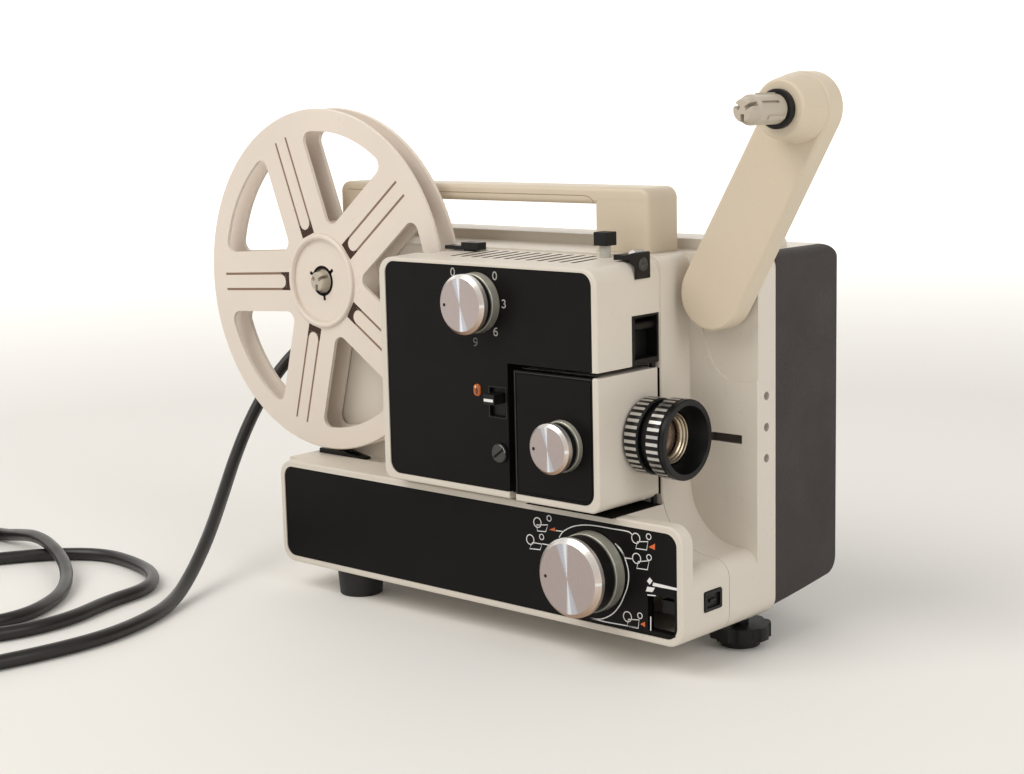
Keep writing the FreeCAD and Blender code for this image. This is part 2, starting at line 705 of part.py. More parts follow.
def cover_screws():
    screws = []
    for x in COVER_SCREW_X:
        for z in COVER_SCREW_Z:
            head_low = COVER_BACK - SCREW_HEAD_HEIGHT - 0.6
            profile = [(0, -SCREW_LENGTH + 2.5, 0), (SCREW_SHANK_RADIUS - SHAFT_FIT, -SCREW_LENGTH + 2.5,
                                                     0),
                       (SCREW_SHANK_RADIUS - SHAFT_FIT, 0, 0), (SCREW_HEAD_RADIUS, 0, 0),
                       (SCREW_HEAD_RADIUS, SCREW_HEAD_HEIGHT, 0.8), (0, SCREW_HEAD_HEIGHT, 0)]
            screw = turned(profile, (x, head_low, z), (0, 1, 0))
            slot = block(x - SCREW_HEAD_RADIUS, x + SCREW_HEAD_RADIUS, head_low + SCREW_HEAD_HEIGHT - 0.8,
                         COVER_BACK, z - 0.5, z + 0.5)
            screws.append(screw.cut(slot))
    return Part.makeCompound(screws)


def top_deck():
    plate = slab(deck_outline(SEAT_GAP / 2), on_top, COVER_TOP - DECK_THICKNESS, DECK_THICKNESS)
    plate = plate.cut(block(LEFT, 0, BODY_BACK - 2, BODY_BACK + 0.02, 0, COVER_TOP + 1))
    left, right = LEFT + RIDGE_END_MARGIN, -RIDGE_END_MARGIN
    ridge = slab(rectangle(left, right, COVER_TOP - DECK_THICKNESS, RIDGE_TOP, 2.0), on_front,
                 BODY_BACK + 0.02, RIDGE_DEPTH)
    plate = plate.fuse(ridge)
    hollow = block(left + WALL, right - WALL, BODY_BACK + WALL, BODY_BACK + RIDGE_DEPTH - WALL,
                   COVER_TOP - DECK_THICKNESS - 1, RIDGE_TOP - WALL)
    return plate.cut(hollow).removeSplitter()


# Head

def head_outline(inset, top):
    return [
        (HEAD_LEFT + inset, HEAD_LOW + inset, HEAD_LOW_CORNER - inset),
        (HEAD_RIGHT - inset, HEAD_LOW + inset, HEAD_LOW_CORNER - inset),
        (HEAD_RIGHT - inset, top - inset, HEAD_TOP_CORNER - inset),
        (HEAD_LEFT + inset, top - inset, HEAD_TOP_CORNER - inset),
    ]


def head_solid(inset, front, back):
    wires = [rounded_wire(head_outline(inset, HEAD_TOP_FRONT), on_front, front),
             rounded_wire(head_outline(inset, HEAD_TOP_BACK), on_front, back)]
    return Part.makeLoft(wires, True, True)


HEAD_SEAT = HEAD_FRONT + PANEL_INSET


def head_panel_outline(play):
    """The black panel leaves out the corner that the lens door fills."""
    low, high = HEAD_LOW + RIM_WIDTH, HEAD_TOP_FRONT - 1.7
    left, right = HEAD_LEFT + RIM_WIDTH + 1, HEAD_RIGHT - RIM_WIDTH + 0.3
    return [
        (left + play, low + play, PANEL_CORNER - play),
        (BAY_LEFT - play, low + play, 0.4),
        (BAY_LEFT - play, BAY_TOP + play, 0.4),
        (right - play, BAY_TOP + play, 0.4),
        (right - play, high - play, PANEL_CORNER - play),
        (left + play, high - play, PANEL_CORNER - play),
    ]


def bay_flanges(play):
    """Strips of the head panel that turn back round the bay's left and top edges."""
    back = FLANGE_DEPTH + play
    left = block(BAY_LEFT - PANEL_FLANGE - play, BAY_LEFT - SEAT_GAP / 2 + play, HEAD_SEAT, HEAD_SEAT + back,
                 HEAD_LOW + RIM_WIDTH + SEAT_GAP / 2 - play, BAY_TOP + PANEL_FLANGE + play)
    top = block(BAY_LEFT - PANEL_FLANGE - play, HEAD_RIGHT - RIM_WIDTH, HEAD_SEAT, HEAD_SEAT + back,
                BAY_TOP + SEAT_GAP / 2 - play, BAY_TOP + PANEL_FLANGE + play)
    return left.fuse(top)


def head_openings():
    """Holes through the head's front wall, shared by the shell and the panel."""
    depth = 12
    holes = rod(KNOB_SHAFT_RADIUS + CLEAR, (SPEED_X, HEAD_FRONT - 1, SPEED_Z), (0, 1, 0), depth)
    holes = holes.fuse(rod(LOCK_RADIUS * 0.55 + SHAFT_FIT, (LOCK_X, HEAD_FRONT - 1, LOCK_Z), (0, 1, 0),
                           depth))
    holes = holes.fuse(slab(rectangle(SWITCH_X, SWITCH_X + SWITCH_WIDTH, SWITCH_Z,
                                      SWITCH_Z + SWITCH_HEIGHT, 0.6),
                            on_front, HEAD_FRONT - 1, 1 + PANEL_BACK))
    light = rectangle(LIGHT_X - LIGHT_WIDTH / 2, LIGHT_X + LIGHT_WIDTH / 2,
                      LIGHT_Z - LIGHT_HEIGHT / 2, LIGHT_Z + LIGHT_HEIGHT / 2, LIGHT_WIDTH * 0.45)
    return holes.fuse(slab(light, on_front, HEAD_FRONT - 1, depth))


def bay_space(margin):
    """The corner of the head that the lens door fills."""
    return block(BAY_LEFT - margin, HEAD_RIGHT + 5, HEAD_FRONT - 5, BASE_DEPTH + 5, HEAD_LOW - 5,
                 BAY_TOP + margin)


def head_shell():
    shell = head_solid(0, HEAD_FRONT, BASE_DEPTH)
    shell = shell.makeFillet(EDGE_ROUND, edges_in_plane(shell, "y", HEAD_FRONT))
    wall_front = HEAD_FRONT + PANEL_BACK
    hollow = head_solid(WALL, wall_front + WALL, BASE_DEPTH + 1).cut(bay_space(WALL))
    hollow = hollow.cut(block(HEAD_LEFT, WING_RIGHT + WALL, WING_BACK - WALL, BASE_DEPTH + 5, HEAD_LOW,
                              BODY_TOP))
    shell = shell.cut(hollow).cut(bay_space(0))
    shell = shell.cut(block(HEAD_LEFT - 5, WING_RIGHT, WING_BACK, BASE_DEPTH + 5, HEAD_LOW - 5,
                            BODY_TOP + 5))
    shell = shell.cut(slab(head_panel_outline(0), on_front, HEAD_FRONT - 1, 1 + PANEL_BACK))
    shell = shell.cut(bay_flanges(SEAT_GAP / 2))
    shell = shell.cut(head_openings())
    shell = shell.cut(switch_way())
    for i in range(VENT_COUNT):
        x = VENT_FIRST_X + i * VENT_PITCH
        beside_stem = abs(x - FRAMING_X) < VENT_PITCH
        back = FRAMING_Y - FRAMING_STEM_RADIUS - WALL if beside_stem else VENT_BACK
        outline = rectangle(x - VENT_WIDTH / 2, x + VENT_WIDTH / 2, VENT_FRONT, back, VENT_WIDTH * 0.45)
        shell = shell.cut(slab(outline, on_top, HEAD_TOP_FRONT - WALL * 3, WALL * 5))
    aperture = block(BAY_LEFT - WALL * 2, BAY_LEFT + 1, LENS_Y - APERTURE_WIDTH, LENS_Y + APERTURE_WIDTH,
                     LENS_Z - APERTURE_HEIGHT, LENS_Z + APERTURE_HEIGHT)
    shell = shell.cut(aperture)
    shell = shell.cut(side_window_space(0))
    shell = shell.cut(rod(FRAMING_STEM_RADIUS + SHAFT_FIT, (FRAMING_X, FRAMING_Y,
                                                            HEAD_TOP_FRONT - WALL * 3),
                          (0, 0, 1), WALL * 6))
    shell = shell.cut(lever_slot())
    shell = shell.cut(rod(HINGE_PIN_RADIUS, (HINGE_X, HINGE_Y, BAY_TOP - 1), (0, 0, 1), WALL + 2))
    return shell.removeSplitter()


def side_window_space(play):
    """Corner of the head's right side, open to the bay below and to the body behind."""
    return block(HEAD_RIGHT - SIDE_WINDOW_DEPTH + play, HEAD_RIGHT + 1, SIDE_WINDOW_FRONT + play,
                 BASE_DEPTH - play, BAY_TOP, SIDE_WINDOW_HIGH - play)


def side_window():
    """Black tray in the right side of the head, where the film can be watched."""
    tray = side_window_space(SEAT_GAP / 2).cut(block(HEAD_RIGHT - 0.4, HEAD_RIGHT + 5, 0, 50, 0, BODY_TOP))
    floor = BAY_TOP + WALL
    back = BASE_DEPTH - SIDE_WINDOW_WALL
    inner = block(HEAD_RIGHT - SIDE_WINDOW_DEPTH + SIDE_WINDOW_WALL, HEAD_RIGHT + 5,
                  SIDE_WINDOW_FRONT + SIDE_WINDOW_WALL, back, floor, SIDE_WINDOW_HIGH - SIDE_WINDOW_WALL)
    tray = tray.cut(inner)
    tray = tray.cut(rod(HINGE_PIN_RADIUS, (HINGE_X, HINGE_Y, BAY_TOP - 1), (0, 0, 1), WALL + 2))
    strip = block(HEAD_RIGHT - SIDE_WINDOW_DEPTH + 1, HEAD_RIGHT - 1.5, SIDE_WINDOW_FRONT + 1,
                  SIDE_WINDOW_FRONT + 4.2, floor - 0.5, SIDE_WINDOW_HIGH - 1)
    guide = rod(2.2, (HEAD_RIGHT - 4.2, SIDE_WINDOW_FRONT + 4, SIDE_WINDOW_HIGH - 5.5), (0, 1, 0),
                back - SIDE_WINDOW_FRONT - 3.5)
    return tray.fuse(strip).fuse(guide).removeSplitter()


def head_front_panel():
    panel = slab(head_panel_outline(SEAT_GAP / 2), on_front, HEAD_FRONT + PANEL_INSET, PANEL_THICKNESS)
    return panel.fuse(bay_flanges(0)).cut(head_openings()).removeSplitter()


def pilot_light():
    outline = rectangle(LIGHT_X - LIGHT_WIDTH / 2 + 0.1, LIGHT_X + LIGHT_WIDTH / 2 - 0.1,
                        LIGHT_Z - LIGHT_HEIGHT / 2 + 0.1, LIGHT_Z + LIGHT_HEIGHT / 2 - 0.1,
                        LIGHT_WIDTH * 0.45 - 0.1)
    cap = slab(outline, on_front, HEAD_FRONT - 0.4, PANEL_BACK + WALL)
    return cap.makeFillet(0.8, edges_in_plane(cap, "y", HEAD_FRONT - 0.4))


SWITCH_PLATE_THICKNESS = 1.2
SWITCH_STEM = 3.0


def switch_plate(play):
    """Sliding plate behind the slot, long enough to close it at both ends of the travel."""
    low, high = SWITCH_Z - 0.8, SWITCH_Z + SWITCH_HEIGHT + SWITCH_TRAVEL + 0.6
    return block(SWITCH_X - 1.2 - play, SWITCH_X + SWITCH_WIDTH + 0.4 + play, HEAD_FRONT + PANEL_BACK,
                 HEAD_FRONT + PANEL_BACK + SWITCH_PLATE_THICKNESS + play, low - play, high + play)


def switch_way():
    """Pocket for the sliding plate in the head's front wall, with the slot for its stem."""
    middle = SWITCH_X + SWITCH_WIDTH / 2 - 1.2
    way = switch_plate(0.3).fuse(switch_plate(0.3).translated(V(0, 0, -SWITCH_TRAVEL)))
    return way.fuse(block(middle - SWITCH_STEM / 2 - 0.4, middle + SWITCH_STEM / 2 + 0.4, HEAD_FRONT,
                          HEAD_FRONT + 12, SWITCH_KEY_LOW - SWITCH_TRAVEL - 0.4,
                          SWITCH_KEY_LOW + SWITCH_KEY_HEIGHT + 0.4))


def film_type_switch():
    """Key for the two film formats on its sliding plate, in the upper position."""
    middle = SWITCH_X + SWITCH_WIDTH / 2
    high = SWITCH_KEY_LOW + SWITCH_KEY_HEIGHT
    front = HEAD_FRONT - SWITCH_KEY_REACH
    key = slab(rectangle(middle - SWITCH_KEY_WIDTH / 2, middle + SWITCH_KEY_WIDTH / 2, SWITCH_KEY_LOW, high,
                         0.5), on_front, front, SWITCH_KEY_REACH + PANEL_BACK + 0.6)
    key = key.makeFillet(0.4, edges_in_plane(key, "y", front))
    stem = block(middle - 1.2 - SWITCH_STEM / 2, middle - 1.2 + SWITCH_STEM / 2, HEAD_FRONT + PANEL_BACK + 0.5,
                 HEAD_FRONT + 10, SWITCH_KEY_LOW, high)
    plate = switch_plate(0).translated(V(0, 0.1, 0))
    return key.fuse(plate).fuse(stem).removeSplitter()


def lock_screw():
    profile = [(0, -1.3, 0), (LOCK_RADIUS, -1.3, 0.5), (LOCK_RADIUS, -SEAT_GAP / 2, 0),
               (LOCK_RADIUS * 0.55, -SEAT_GAP / 2, 0), (LOCK_RADIUS * 0.55, 8, 0), (0, 8, 0)]
    front = HEAD_FRONT + PANEL_INSET
    screw = turned(profile, (LOCK_X, front, LOCK_Z), (0, 1, 0))
    return screw.cut(block(LOCK_X - LOCK_RADIUS, LOCK_X + LOCK_RADIUS, front - 2, front - 0.6,
                           LOCK_Z - 0.55, LOCK_Z + 0.55))


def lever_slot():
    middle = LEVER_X + LEVER_LENGTH * 0.62
    return block(middle - 3.2, middle + LEVER_TRAVEL + 3.2, LEVER_FRONT + 1.5,
                 LEVER_FRONT + LEVER_WIDTH - 1.5,
                 HEAD_TOP_FRONT - WALL * 3, HEAD_TOP_BACK + 2)


def top_lever():
    """Two-step slide on top of the head."""
    low = block(LEVER_X, LEVER_X + LEVER_LENGTH / 2, LEVER_FRONT, LEVER_FRONT + LEVER_WIDTH, LEVER_LOW,
                LEVER_STEP)
    high = block(LEVER_X + LEVER_LENGTH / 2, LEVER_X + LEVER_LENGTH, LEVER_FRONT, LEVER_FRONT + LEVER_WIDTH,
                 LEVER_LOW, LEVER_HIGH)
    middle = LEVER_X + LEVER_LENGTH * 0.62
    stem = block(middle - 2.8, middle + 2.8, LEVER_FRONT + 2, LEVER_FRONT + LEVER_WIDTH - 2,
                 HEAD_TOP_FRONT - WALL * 2, LEVER_LOW + 1)
    return low.fuse(high).fuse(stem).removeSplitter()


def framing_knob():
    """Black block on a grey stem; turning it moves the picture frame up and down."""
    low = HEAD_TOP_FRONT - WALL * 4
    stem = rod(FRAMING_STEM_RADIUS, (FRAMING_X, FRAMING_Y, low), (0, 0, 1), FRAMING_LOW - low + 1)
    head = slab(rectangle(FRAMING_X - FRAMING_WIDTH / 2, FRAMING_X + FRAMING_WIDTH / 2,
                          FRAMING_Y - FRAMING_DEPTH / 2, FRAMING_Y + FRAMING_DEPTH / 2, 0.8),
                on_top, FRAMING_LOW, FRAMING_HIGH - FRAMING_LOW)
    head = head.makeFillet(0.5, edges_in_plane(head, "z", FRAMING_HIGH))
    return head.fuse(stem).removeSplitter()


INLET_FRONT = 16.6
INLET_BACK = 26.6
INLET_CHEEK = 1.2
ROLLER_RADIUS = 2.2
ROLLER_X = -40.4
ROLLER_Z = 183.9


def inlet_guide():
    """Black film inlet that wraps over the top right edge of the head, with two cheeks for its roller."""
    outline = [(-49.7, 183.9, 0.6), (-43.5, 183.7, 0.6), (-36.9, 185.4, 0.8), (-36.8, 173.2, 0.6),
               (-37.9, 173.2, 0), (-37.9, 178.6, 0), (-41.0, 181.7, 0), (-49.7, 181.4, 0)]
    guide = slab(outline, on_front, INLET_FRONT, INLET_BACK - INLET_FRONT)
    return guide.cut(rod(ROLLER_RADIUS + CLEAR, (ROLLER_X, INLET_FRONT + INLET_CHEEK, ROLLER_Z), (0, 1, 0),
                         INLET_BACK - INLET_FRONT - INLET_CHEEK * 2))


def inlet_roller():
    """Bright roller that leads the film from the supply reel into the inlet."""
    return rod(ROLLER_RADIUS, (ROLLER_X, INLET_FRONT + INLET_CHEEK + CLEAR, ROLLER_Z), (0, 1, 0),
               INLET_BACK - INLET_FRONT - INLET_CHEEK * 2 - CLEAR * 2)


def exit_guide():
    """Black wedge that leads the film end from the base to the take-up reel."""
    low = BASE_TOP - EXIT_DEPTH + SEAT_GAP
    outline = [(EXIT_LEFT + 0.3, low, 0), (EXIT_RIGHT - 18, low, 0), (EXIT_RIGHT - 18, low + 1.2, 0.4),
               (EXIT_LEFT + 14, 70.8, 2.0), (EXIT_LEFT + 0.3, 70.8, 0.8)]
    guide = slab(outline, on_front, EXIT_FRONT + 0.3, EXIT_BACK - EXIT_FRONT - 0.6)
    groove = block(EXIT_LEFT - 1, EXIT_RIGHT, EXIT_FRONT + 2.2, EXIT_BACK - 2.2, low + 1.6, 80)
    return guide.cut(groove)


# Knobs

def knob_heights(knob):
    skirt = knob["skirt"][1]
    ring = skirt + knob["ring"][1]
    return skirt, ring, ring + knob["cap"][1]


def knob_body(knob, x, seat, z, shaft_length):
    """Black grip ring over a wider skirt, with the shaft that turns inside the machine."""
    skirt_radius = knob["skirt"][0]
    ring_radius = knob["ring"][0]
    skirt, ring, _ = knob_heights(knob)
    profile = [(0, -shaft_length, 0), (KNOB_SHAFT_RADIUS, -shaft_length, 0.5),
               (KNOB_SHAFT_RADIUS, SEAT_GAP, 0),
               (skirt_radius, SEAT_GAP, 0.3), (skirt_radius - 0.4, skirt + SEAT_GAP, 0.5),
               (ring_radius - 0.6, skirt + SEAT_GAP, 0), (ring_radius, skirt + SEAT_GAP + 0.8, 0),
               (ring_radius, ring + SEAT_GAP, 0), (0, ring + SEAT_GAP, 0)]
    return turned(profile, (x, seat, z), (0, -1, 0))


def knob_cap(knob, x, seat, z):
    """Turned aluminium cap with bevelled edges and a small index dimple."""
    radius = knob["cap"][0]
    _, low, top = knob_heights(knob)
    bevel = radius * CAP_BEVEL
    profile = [(0, low + SEAT_GAP, 0), (radius - 0.5, low + SEAT_GAP, 0), (radius, low + SEAT_GAP + 0.5, 0),
               (radius, top + SEAT_GAP - bevel, 0), (radius - bevel, top + SEAT_GAP, 0),
               (0, top + SEAT_GAP, 0)]
    cap = turned(profile, (x, seat, z), (0, -1, 0))
    dimple = Part.makeSphere(DIMPLE_RADIUS, V(x - radius * DIMPLE_ASIDE, seat - top - SEAT_GAP - 0.4,
                                              z + radius * DIMPLE_UP))
    return cap.cut(dimple)


SPEED_SHAFT = 16.0
SELECTOR_SHAFT = 22.0
FOCUS_SHAFT = 21.4


def speed_control():
    """Speed regulator with its bush, behind the speed knob."""
    wall_back = HEAD_FRONT + PANEL_BACK + WALL
    body = rod(9.0, (SPEED_X, wall_back + SEAT_GAP, SPEED_Z), (0, 1, 0), 13)
    body = body.fuse(block(SPEED_X - 3, SPEED_X + 3, wall_back + 4, wall_back + 10, SPEED_Z - 14, SPEED_Z))
    return body.cut(rod(KNOB_SHAFT_RADIUS + SHAFT_FIT, (SPEED_X, -20, SPEED_Z), (0, 1, 0), 60))


def selector_switch():
    """Stacked switch wafers on the selector shaft, inside the base module."""
    wall_back = PANEL_BACK + WALL
    body = block(SELECTOR_X - 14, SELECTOR_X + 14, wall_back + SEAT_GAP, wall_back + 3, SELECTOR_Z - 14,
                 SELECTOR_Z + 14)
    for i in range(3):
        body = body.fuse(rod(15.0, (SELECTOR_X, wall_back + 5 + i * 5, SELECTOR_Z), (0, 1, 0), 1.8))
    body = body.fuse(rod(6.0, (SELECTOR_X, wall_back + 2, SELECTOR_Z), (0, 1, 0), 16))
    return body.cut(rod(KNOB_SHAFT_RADIUS + SHAFT_FIT, (SELECTOR_X, -20, SELECTOR_Z), (0, 1, 0),
                        60)).removeSplitter()


# Lens door

def door_outline(inset):
    return [(DOOR_LEFT + inset, DOOR_LOW + inset, 0), (HEAD_RIGHT - inset, DOOR_LOW + inset,
                                                       HEAD_LOW_CORNER - inset),
            (HEAD_RIGHT - inset, DOOR_TOP - inset, 0), (DOOR_LEFT + inset, DOOR_TOP - inset, 0)]


def door_panel_outline(play):
    right = HEAD_RIGHT - RIM_WIDTH + 0.3
    return [(DOOR_LEFT + play, DOOR_LOW + RIM_WIDTH + play, 0.4),
            (right - play, DOOR_LOW + RIM_WIDTH + play, PANEL_CORNER - play),
            (right - play, DOOR_TOP - play, 0.4), (DOOR_LEFT + play, DOOR_TOP - play, 0.4)]


def door_flanges(play):
    """Strips of the door panel that turn back over the door's left and top edges."""
    back = FLANGE_DEPTH + play
    left = block(DOOR_LEFT + SEAT_GAP / 2 - play, DOOR_LEFT + PANEL_FLANGE + play, HEAD_SEAT, HEAD_SEAT + back,
                 DOOR_LOW + RIM_WIDTH + SEAT_GAP / 2 - play, DOOR_TOP - SEAT_GAP / 2 + play)
    top = block(DOOR_LEFT + SEAT_GAP / 2 - play, HEAD_RIGHT - RIM_WIDTH, HEAD_SEAT, HEAD_SEAT + back,
                DOOR_TOP - PANEL_FLANGE - play, DOOR_TOP - SEAT_GAP / 2 + play)
    return left.fuse(top)


HINGE_PINS = ((BASE_TOP - WALL, DOOR_LOW + HINGE_PIN_REACH), (DOOR_TOP - HINGE_PIN_REACH, BAY_TOP + WALL))
RACK_LOW = FOCUS_Z + 4.15
RACK_HEIGHT = 2.6
FOCUS_TRAVEL = 3.5
RACK_REACH = 8.5        # rack length past the pinion's middle


def lens_door():
    door = slab(door_outline(0), on_front, HEAD_FRONT, DOOR_BACK - HEAD_FRONT)
    door = door.makeFillet(EDGE_ROUND, edges_in_plane(door, "y", HEAD_FRONT))
    wall_front = HEAD_FRONT + PANEL_BACK
    hollow = slab(door_outline(WALL), on_front, wall_front + WALL, DOOR_BACK)
    post = rod(HINGE_PIN_RADIUS + 2.4, (HINGE_X, HINGE_Y, DOOR_LOW), (0, 0, 1), DOOR_TOP - DOOR_LOW)
    mount = rod(LENS_TUBE_RADIUS + 1.7, (HEAD_RIGHT - 34, LENS_Y, LENS_Z), (1, 0, 0), 34)
    ribs = block(HEAD_RIGHT - 20, HEAD_RIGHT - WALL / 2, LENS_Y - 1, LENS_Y + 1, DOOR_LOW + WALL / 2,
                 DOOR_TOP - WALL / 2)
    door = door.cut(hollow).fuse(post.common(slab(door_outline(0), on_front, HEAD_FRONT,
                                                  DOOR_BACK - HEAD_FRONT)))
    door = door.fuse(ribs).fuse(mount)
    corner = block(HINGE_X, HEAD_RIGHT + 1, HINGE_Y, DOOR_BACK + 1, DOOR_LOW - 1, DOOR_TOP + 1)
    corner = corner.cut(rod(HEAD_RIGHT - HINGE_X, (HINGE_X, HINGE_Y, DOOR_LOW - 2), (0, 0, 1),
                            DOOR_TOP - DOOR_LOW + 4))
    door = door.cut(corner)
    door = door.cut(slab(door_panel_outline(0), on_front, HEAD_FRONT - 1, 1 + PANEL_BACK))
    door = door.cut(door_flanges(SEAT_GAP / 2))
    low_edge = block(DOOR_LEFT - 1, HEAD_RIGHT + 1, DOOR_BACK - DOOR_REAR_ROUND, DOOR_BACK + 1, DOOR_LOW - 1,
                     DOOR_LOW + DOOR_REAR_ROUND)
    low_edge = low_edge.cut(rod(DOOR_REAR_ROUND, (DOOR_LEFT - 2, DOOR_BACK - DOOR_REAR_ROUND,
                                                  DOOR_LOW + DOOR_REAR_ROUND), (1, 0, 0), 60))
    door = door.cut(low_edge)
    door = door.cut(rod(LENS_TUBE_RADIUS + SHAFT_FIT, (HEAD_RIGHT - 60, LENS_Y, LENS_Z), (1, 0, 0), 70))
    door = door.cut(rod(KNOB_SHAFT_RADIUS + SHAFT_FIT, (FOCUS_X, HEAD_FRONT - 1, FOCUS_Z), (0, 1, 0), 14))
    door = door.cut(block(HEAD_RIGHT - 36, HEAD_RIGHT - 4, LENS_Y - 16, LENS_Y - 5, RACK_LOW - 0.4,
                          RACK_LOW + RACK_HEIGHT + 0.4))
    for low, high in HINGE_PINS:
        door = door.cut(rod(HINGE_PIN_RADIUS + SHAFT_FIT, (HINGE_X, HINGE_Y, low - 1), (0, 0, 1),
                            high - low + 2))
    light_way = block(DOOR_LEFT - 1, DOOR_LEFT + WALL + 1, LENS_Y - 9, DOOR_BACK + 1, LENS_Z - 22,
                      LENS_Z + 22)
    return door.cut(light_way).removeSplitter()


DOOR_GROOVE_INSET = 1.3


def lens_door_panel():
    panel = slab(door_panel_outline(SEAT_GAP / 2), on_front, HEAD_SEAT, PANEL_THICKNESS)
    groove = slab(door_panel_outline(DOOR_GROOVE_INSET), on_front, HEAD_SEAT - 1, 1.3)
    groove = groove.cut(slab(door_panel_outline(DOOR_GROOVE_INSET + 0.4), on_front, HEAD_SEAT - 2, 3))
    panel = panel.fuse(door_flanges(0)).cut(groove)
    return panel.cut(rod(KNOB_SHAFT_RADIUS + SHAFT_FIT, (FOCUS_X, HEAD_FRONT - 1, FOCUS_Z), (0, 1, 0), 14))


def door_hinge_pins():
    """Two short pins, below and above the lens tube."""
    return Part.makeCompound([rod(HINGE_PIN_RADIUS, (HINGE_X, HINGE_Y, low), (0, 0, 1), high - low)
                              for low, high in HINGE_PINS])


def focus_pinion():
    """Small gear at the inner end of the focus shaft."""
    gear = rod(4.0, (FOCUS_X, HEAD_SEAT + FOCUS_SHAFT - 4.4, FOCUS_Z), (0, 1, 0), 4.0)
    teeth = 12
    for i in range(teeth):
        angle = 2 * math.pi * i / teeth
        gear = gear.cut(rod(0.55, (FOCUS_X + 4.0 * math.cos(angle), 0, FOCUS_Z + 4.0 * math.sin(angle)),
                            (0, 1, 0), 30))
    return gear


def focus_knob_body():
    return knob_body(FOCUS_KNOB, FOCUS_X, HEAD_SEAT, FOCUS_Z, FOCUS_SHAFT).fuse(focus_pinion())


# Lens: it slides in the door to focus, and its front ring turns to zoom

GRIP_LEFT = HEAD_RIGHT + LENS_GAP + 0.2
GRIP_RIGHT = GRIP_LEFT + GRIP_LENGTH
ZOOM_LEFT = GRIP_RIGHT + GROOVE_LENGTH
ZOOM_RIGHT = ZOOM_LEFT + ZOOM_LENGTH
LENS_FRONT = ZOOM_RIGHT + BEZEL_LENGTH


def lens_barrel():
    sleeve = rod(LENS_TUBE_RADIUS, (GRIP_LEFT - LENS_TUBE_LENGTH, LENS_Y, LENS_Z), (1, 0, 0),
                 LENS_TUBE_LENGTH + 2)
    profile = [(0, 0, 0), (GRIP_RADIUS, 0, 0.5), (GRIP_RADIUS, GRIP_LENGTH, 0.5),
               (CONE_INNER - SHAFT_FIT, GRIP_LENGTH, 0), (CONE_INNER - SHAFT_FIT,
                                                          GRIP_LENGTH + GROOVE_LENGTH, 0),
               (0, GRIP_LENGTH + GROOVE_LENGTH, 0)]
    barrel = sleeve.fuse(turned(profile, (GRIP_LEFT, LENS_Y, LENS_Z), (1, 0, 0)))
    rack = block(FOCUS_X - RACK_REACH - FOCUS_TRAVEL, FOCUS_X + RACK_REACH, LENS_Y - 12.2, LENS_Y - 7.6,
                 RACK_LOW, RACK_LOW + RACK_HEIGHT)
    barrel = barrel.fuse(rack)
    barrel = barrel.cut(rod(LENS_TUBE_BORE, (GRIP_LEFT - LENS_TUBE_LENGTH - 1, LENS_Y, LENS_Z), (1, 0, 0),
                            100))
    return barrel.cut(rod(FRONT_GLASS_RADIUS, (GRIP_RIGHT - 2, LENS_Y, LENS_Z), (1, 0, 0),
                          20)).removeSplitter()


def zoom_ring():
    length = LENS_FRONT - GRIP_RIGHT - 0.2
    profile = [(CONE_INNER, 0, 0), (GROOVE_RADIUS, 0, 0), (GROOVE_RADIUS, GROOVE_LENGTH - 0.2, 0),
               (GRIP_RADIUS, GROOVE_LENGTH - 0.2, 0.5), (GRIP_RADIUS, GROOVE_LENGTH + ZOOM_LENGTH - 0.2, 0),
               (BEZEL_RADIUS, GROOVE_LENGTH + ZOOM_LENGTH + 0.3, 0), (BEZEL_RADIUS, length, 0.6),
               (CONE_OUTER, length, 0), (CONE_INNER, GROOVE_LENGTH + 0.3, 0)]
    return turned(profile, (GRIP_RIGHT + 0.2, LENS_Y, LENS_Z), (1, 0, 0))


def glass_disc(x, radius, edge, crown):
    """Lens element with a domed front."""
    dome = (radius * radius + crown * crown) / (2 * crown)
    disc = rod(radius, (x, LENS_Y, LENS_Z), (1, 0, 0), edge + crown)
    return disc.common(Part.makeSphere(dome, V(x + edge + crown - dome, LENS_Y, LENS_Z)))


def lens_glass():
    """Front element on its shoulder, and rear element in the tube."""
    front = glass_disc(GRIP_RIGHT - 2 + 0.1, FRONT_GLASS_RADIUS - 0.1, 2.2, 2.0)
    rear = glass_disc(GRIP_LEFT - LENS_TUBE_LENGTH + 1.0, LENS_TUBE_BORE - 0.08, 2.0, 1.4)
    return Part.makeCompound([front, rear])


# Light path

def film_gate():
    """Steel film track with the picture aperture, on the bay wall beside the lens door."""
    plate = slab(rectangle(LENS_Y - 8, LENS_Y + 8, LENS_Z - 24, LENS_Z + 24, 1.5), on_side,
                 BAY_LEFT + SEAT_GAP, GATE_THICKNESS)
    for side in (-1, 1):
        rail = block(BAY_LEFT + SEAT_GAP, BAY_LEFT + SEAT_GAP + GATE_THICKNESS + 0.3,
                     LENS_Y + side * 4.6 - 0.6, LENS_Y + side * 4.6 + 0.6, LENS_Z - 24, LENS_Z + 24)
        plate = plate.fuse(rail)
    hole = block(BAY_LEFT - 5, BAY_LEFT + 5, LENS_Y - APERTURE_WIDTH / 2, LENS_Y + APERTURE_WIDTH / 2,
                 LENS_Z - APERTURE_HEIGHT / 2, LENS_Z + APERTURE_HEIGHT / 2)
    claw_slot = block(BAY_LEFT - 5, BAY_LEFT + 5, LENS_Y - 3.8, LENS_Y - 2.9, LENS_Z - 14, LENS_Z - 6)
    return plate.cut(hole).cut(claw_slot).removeSplitter()


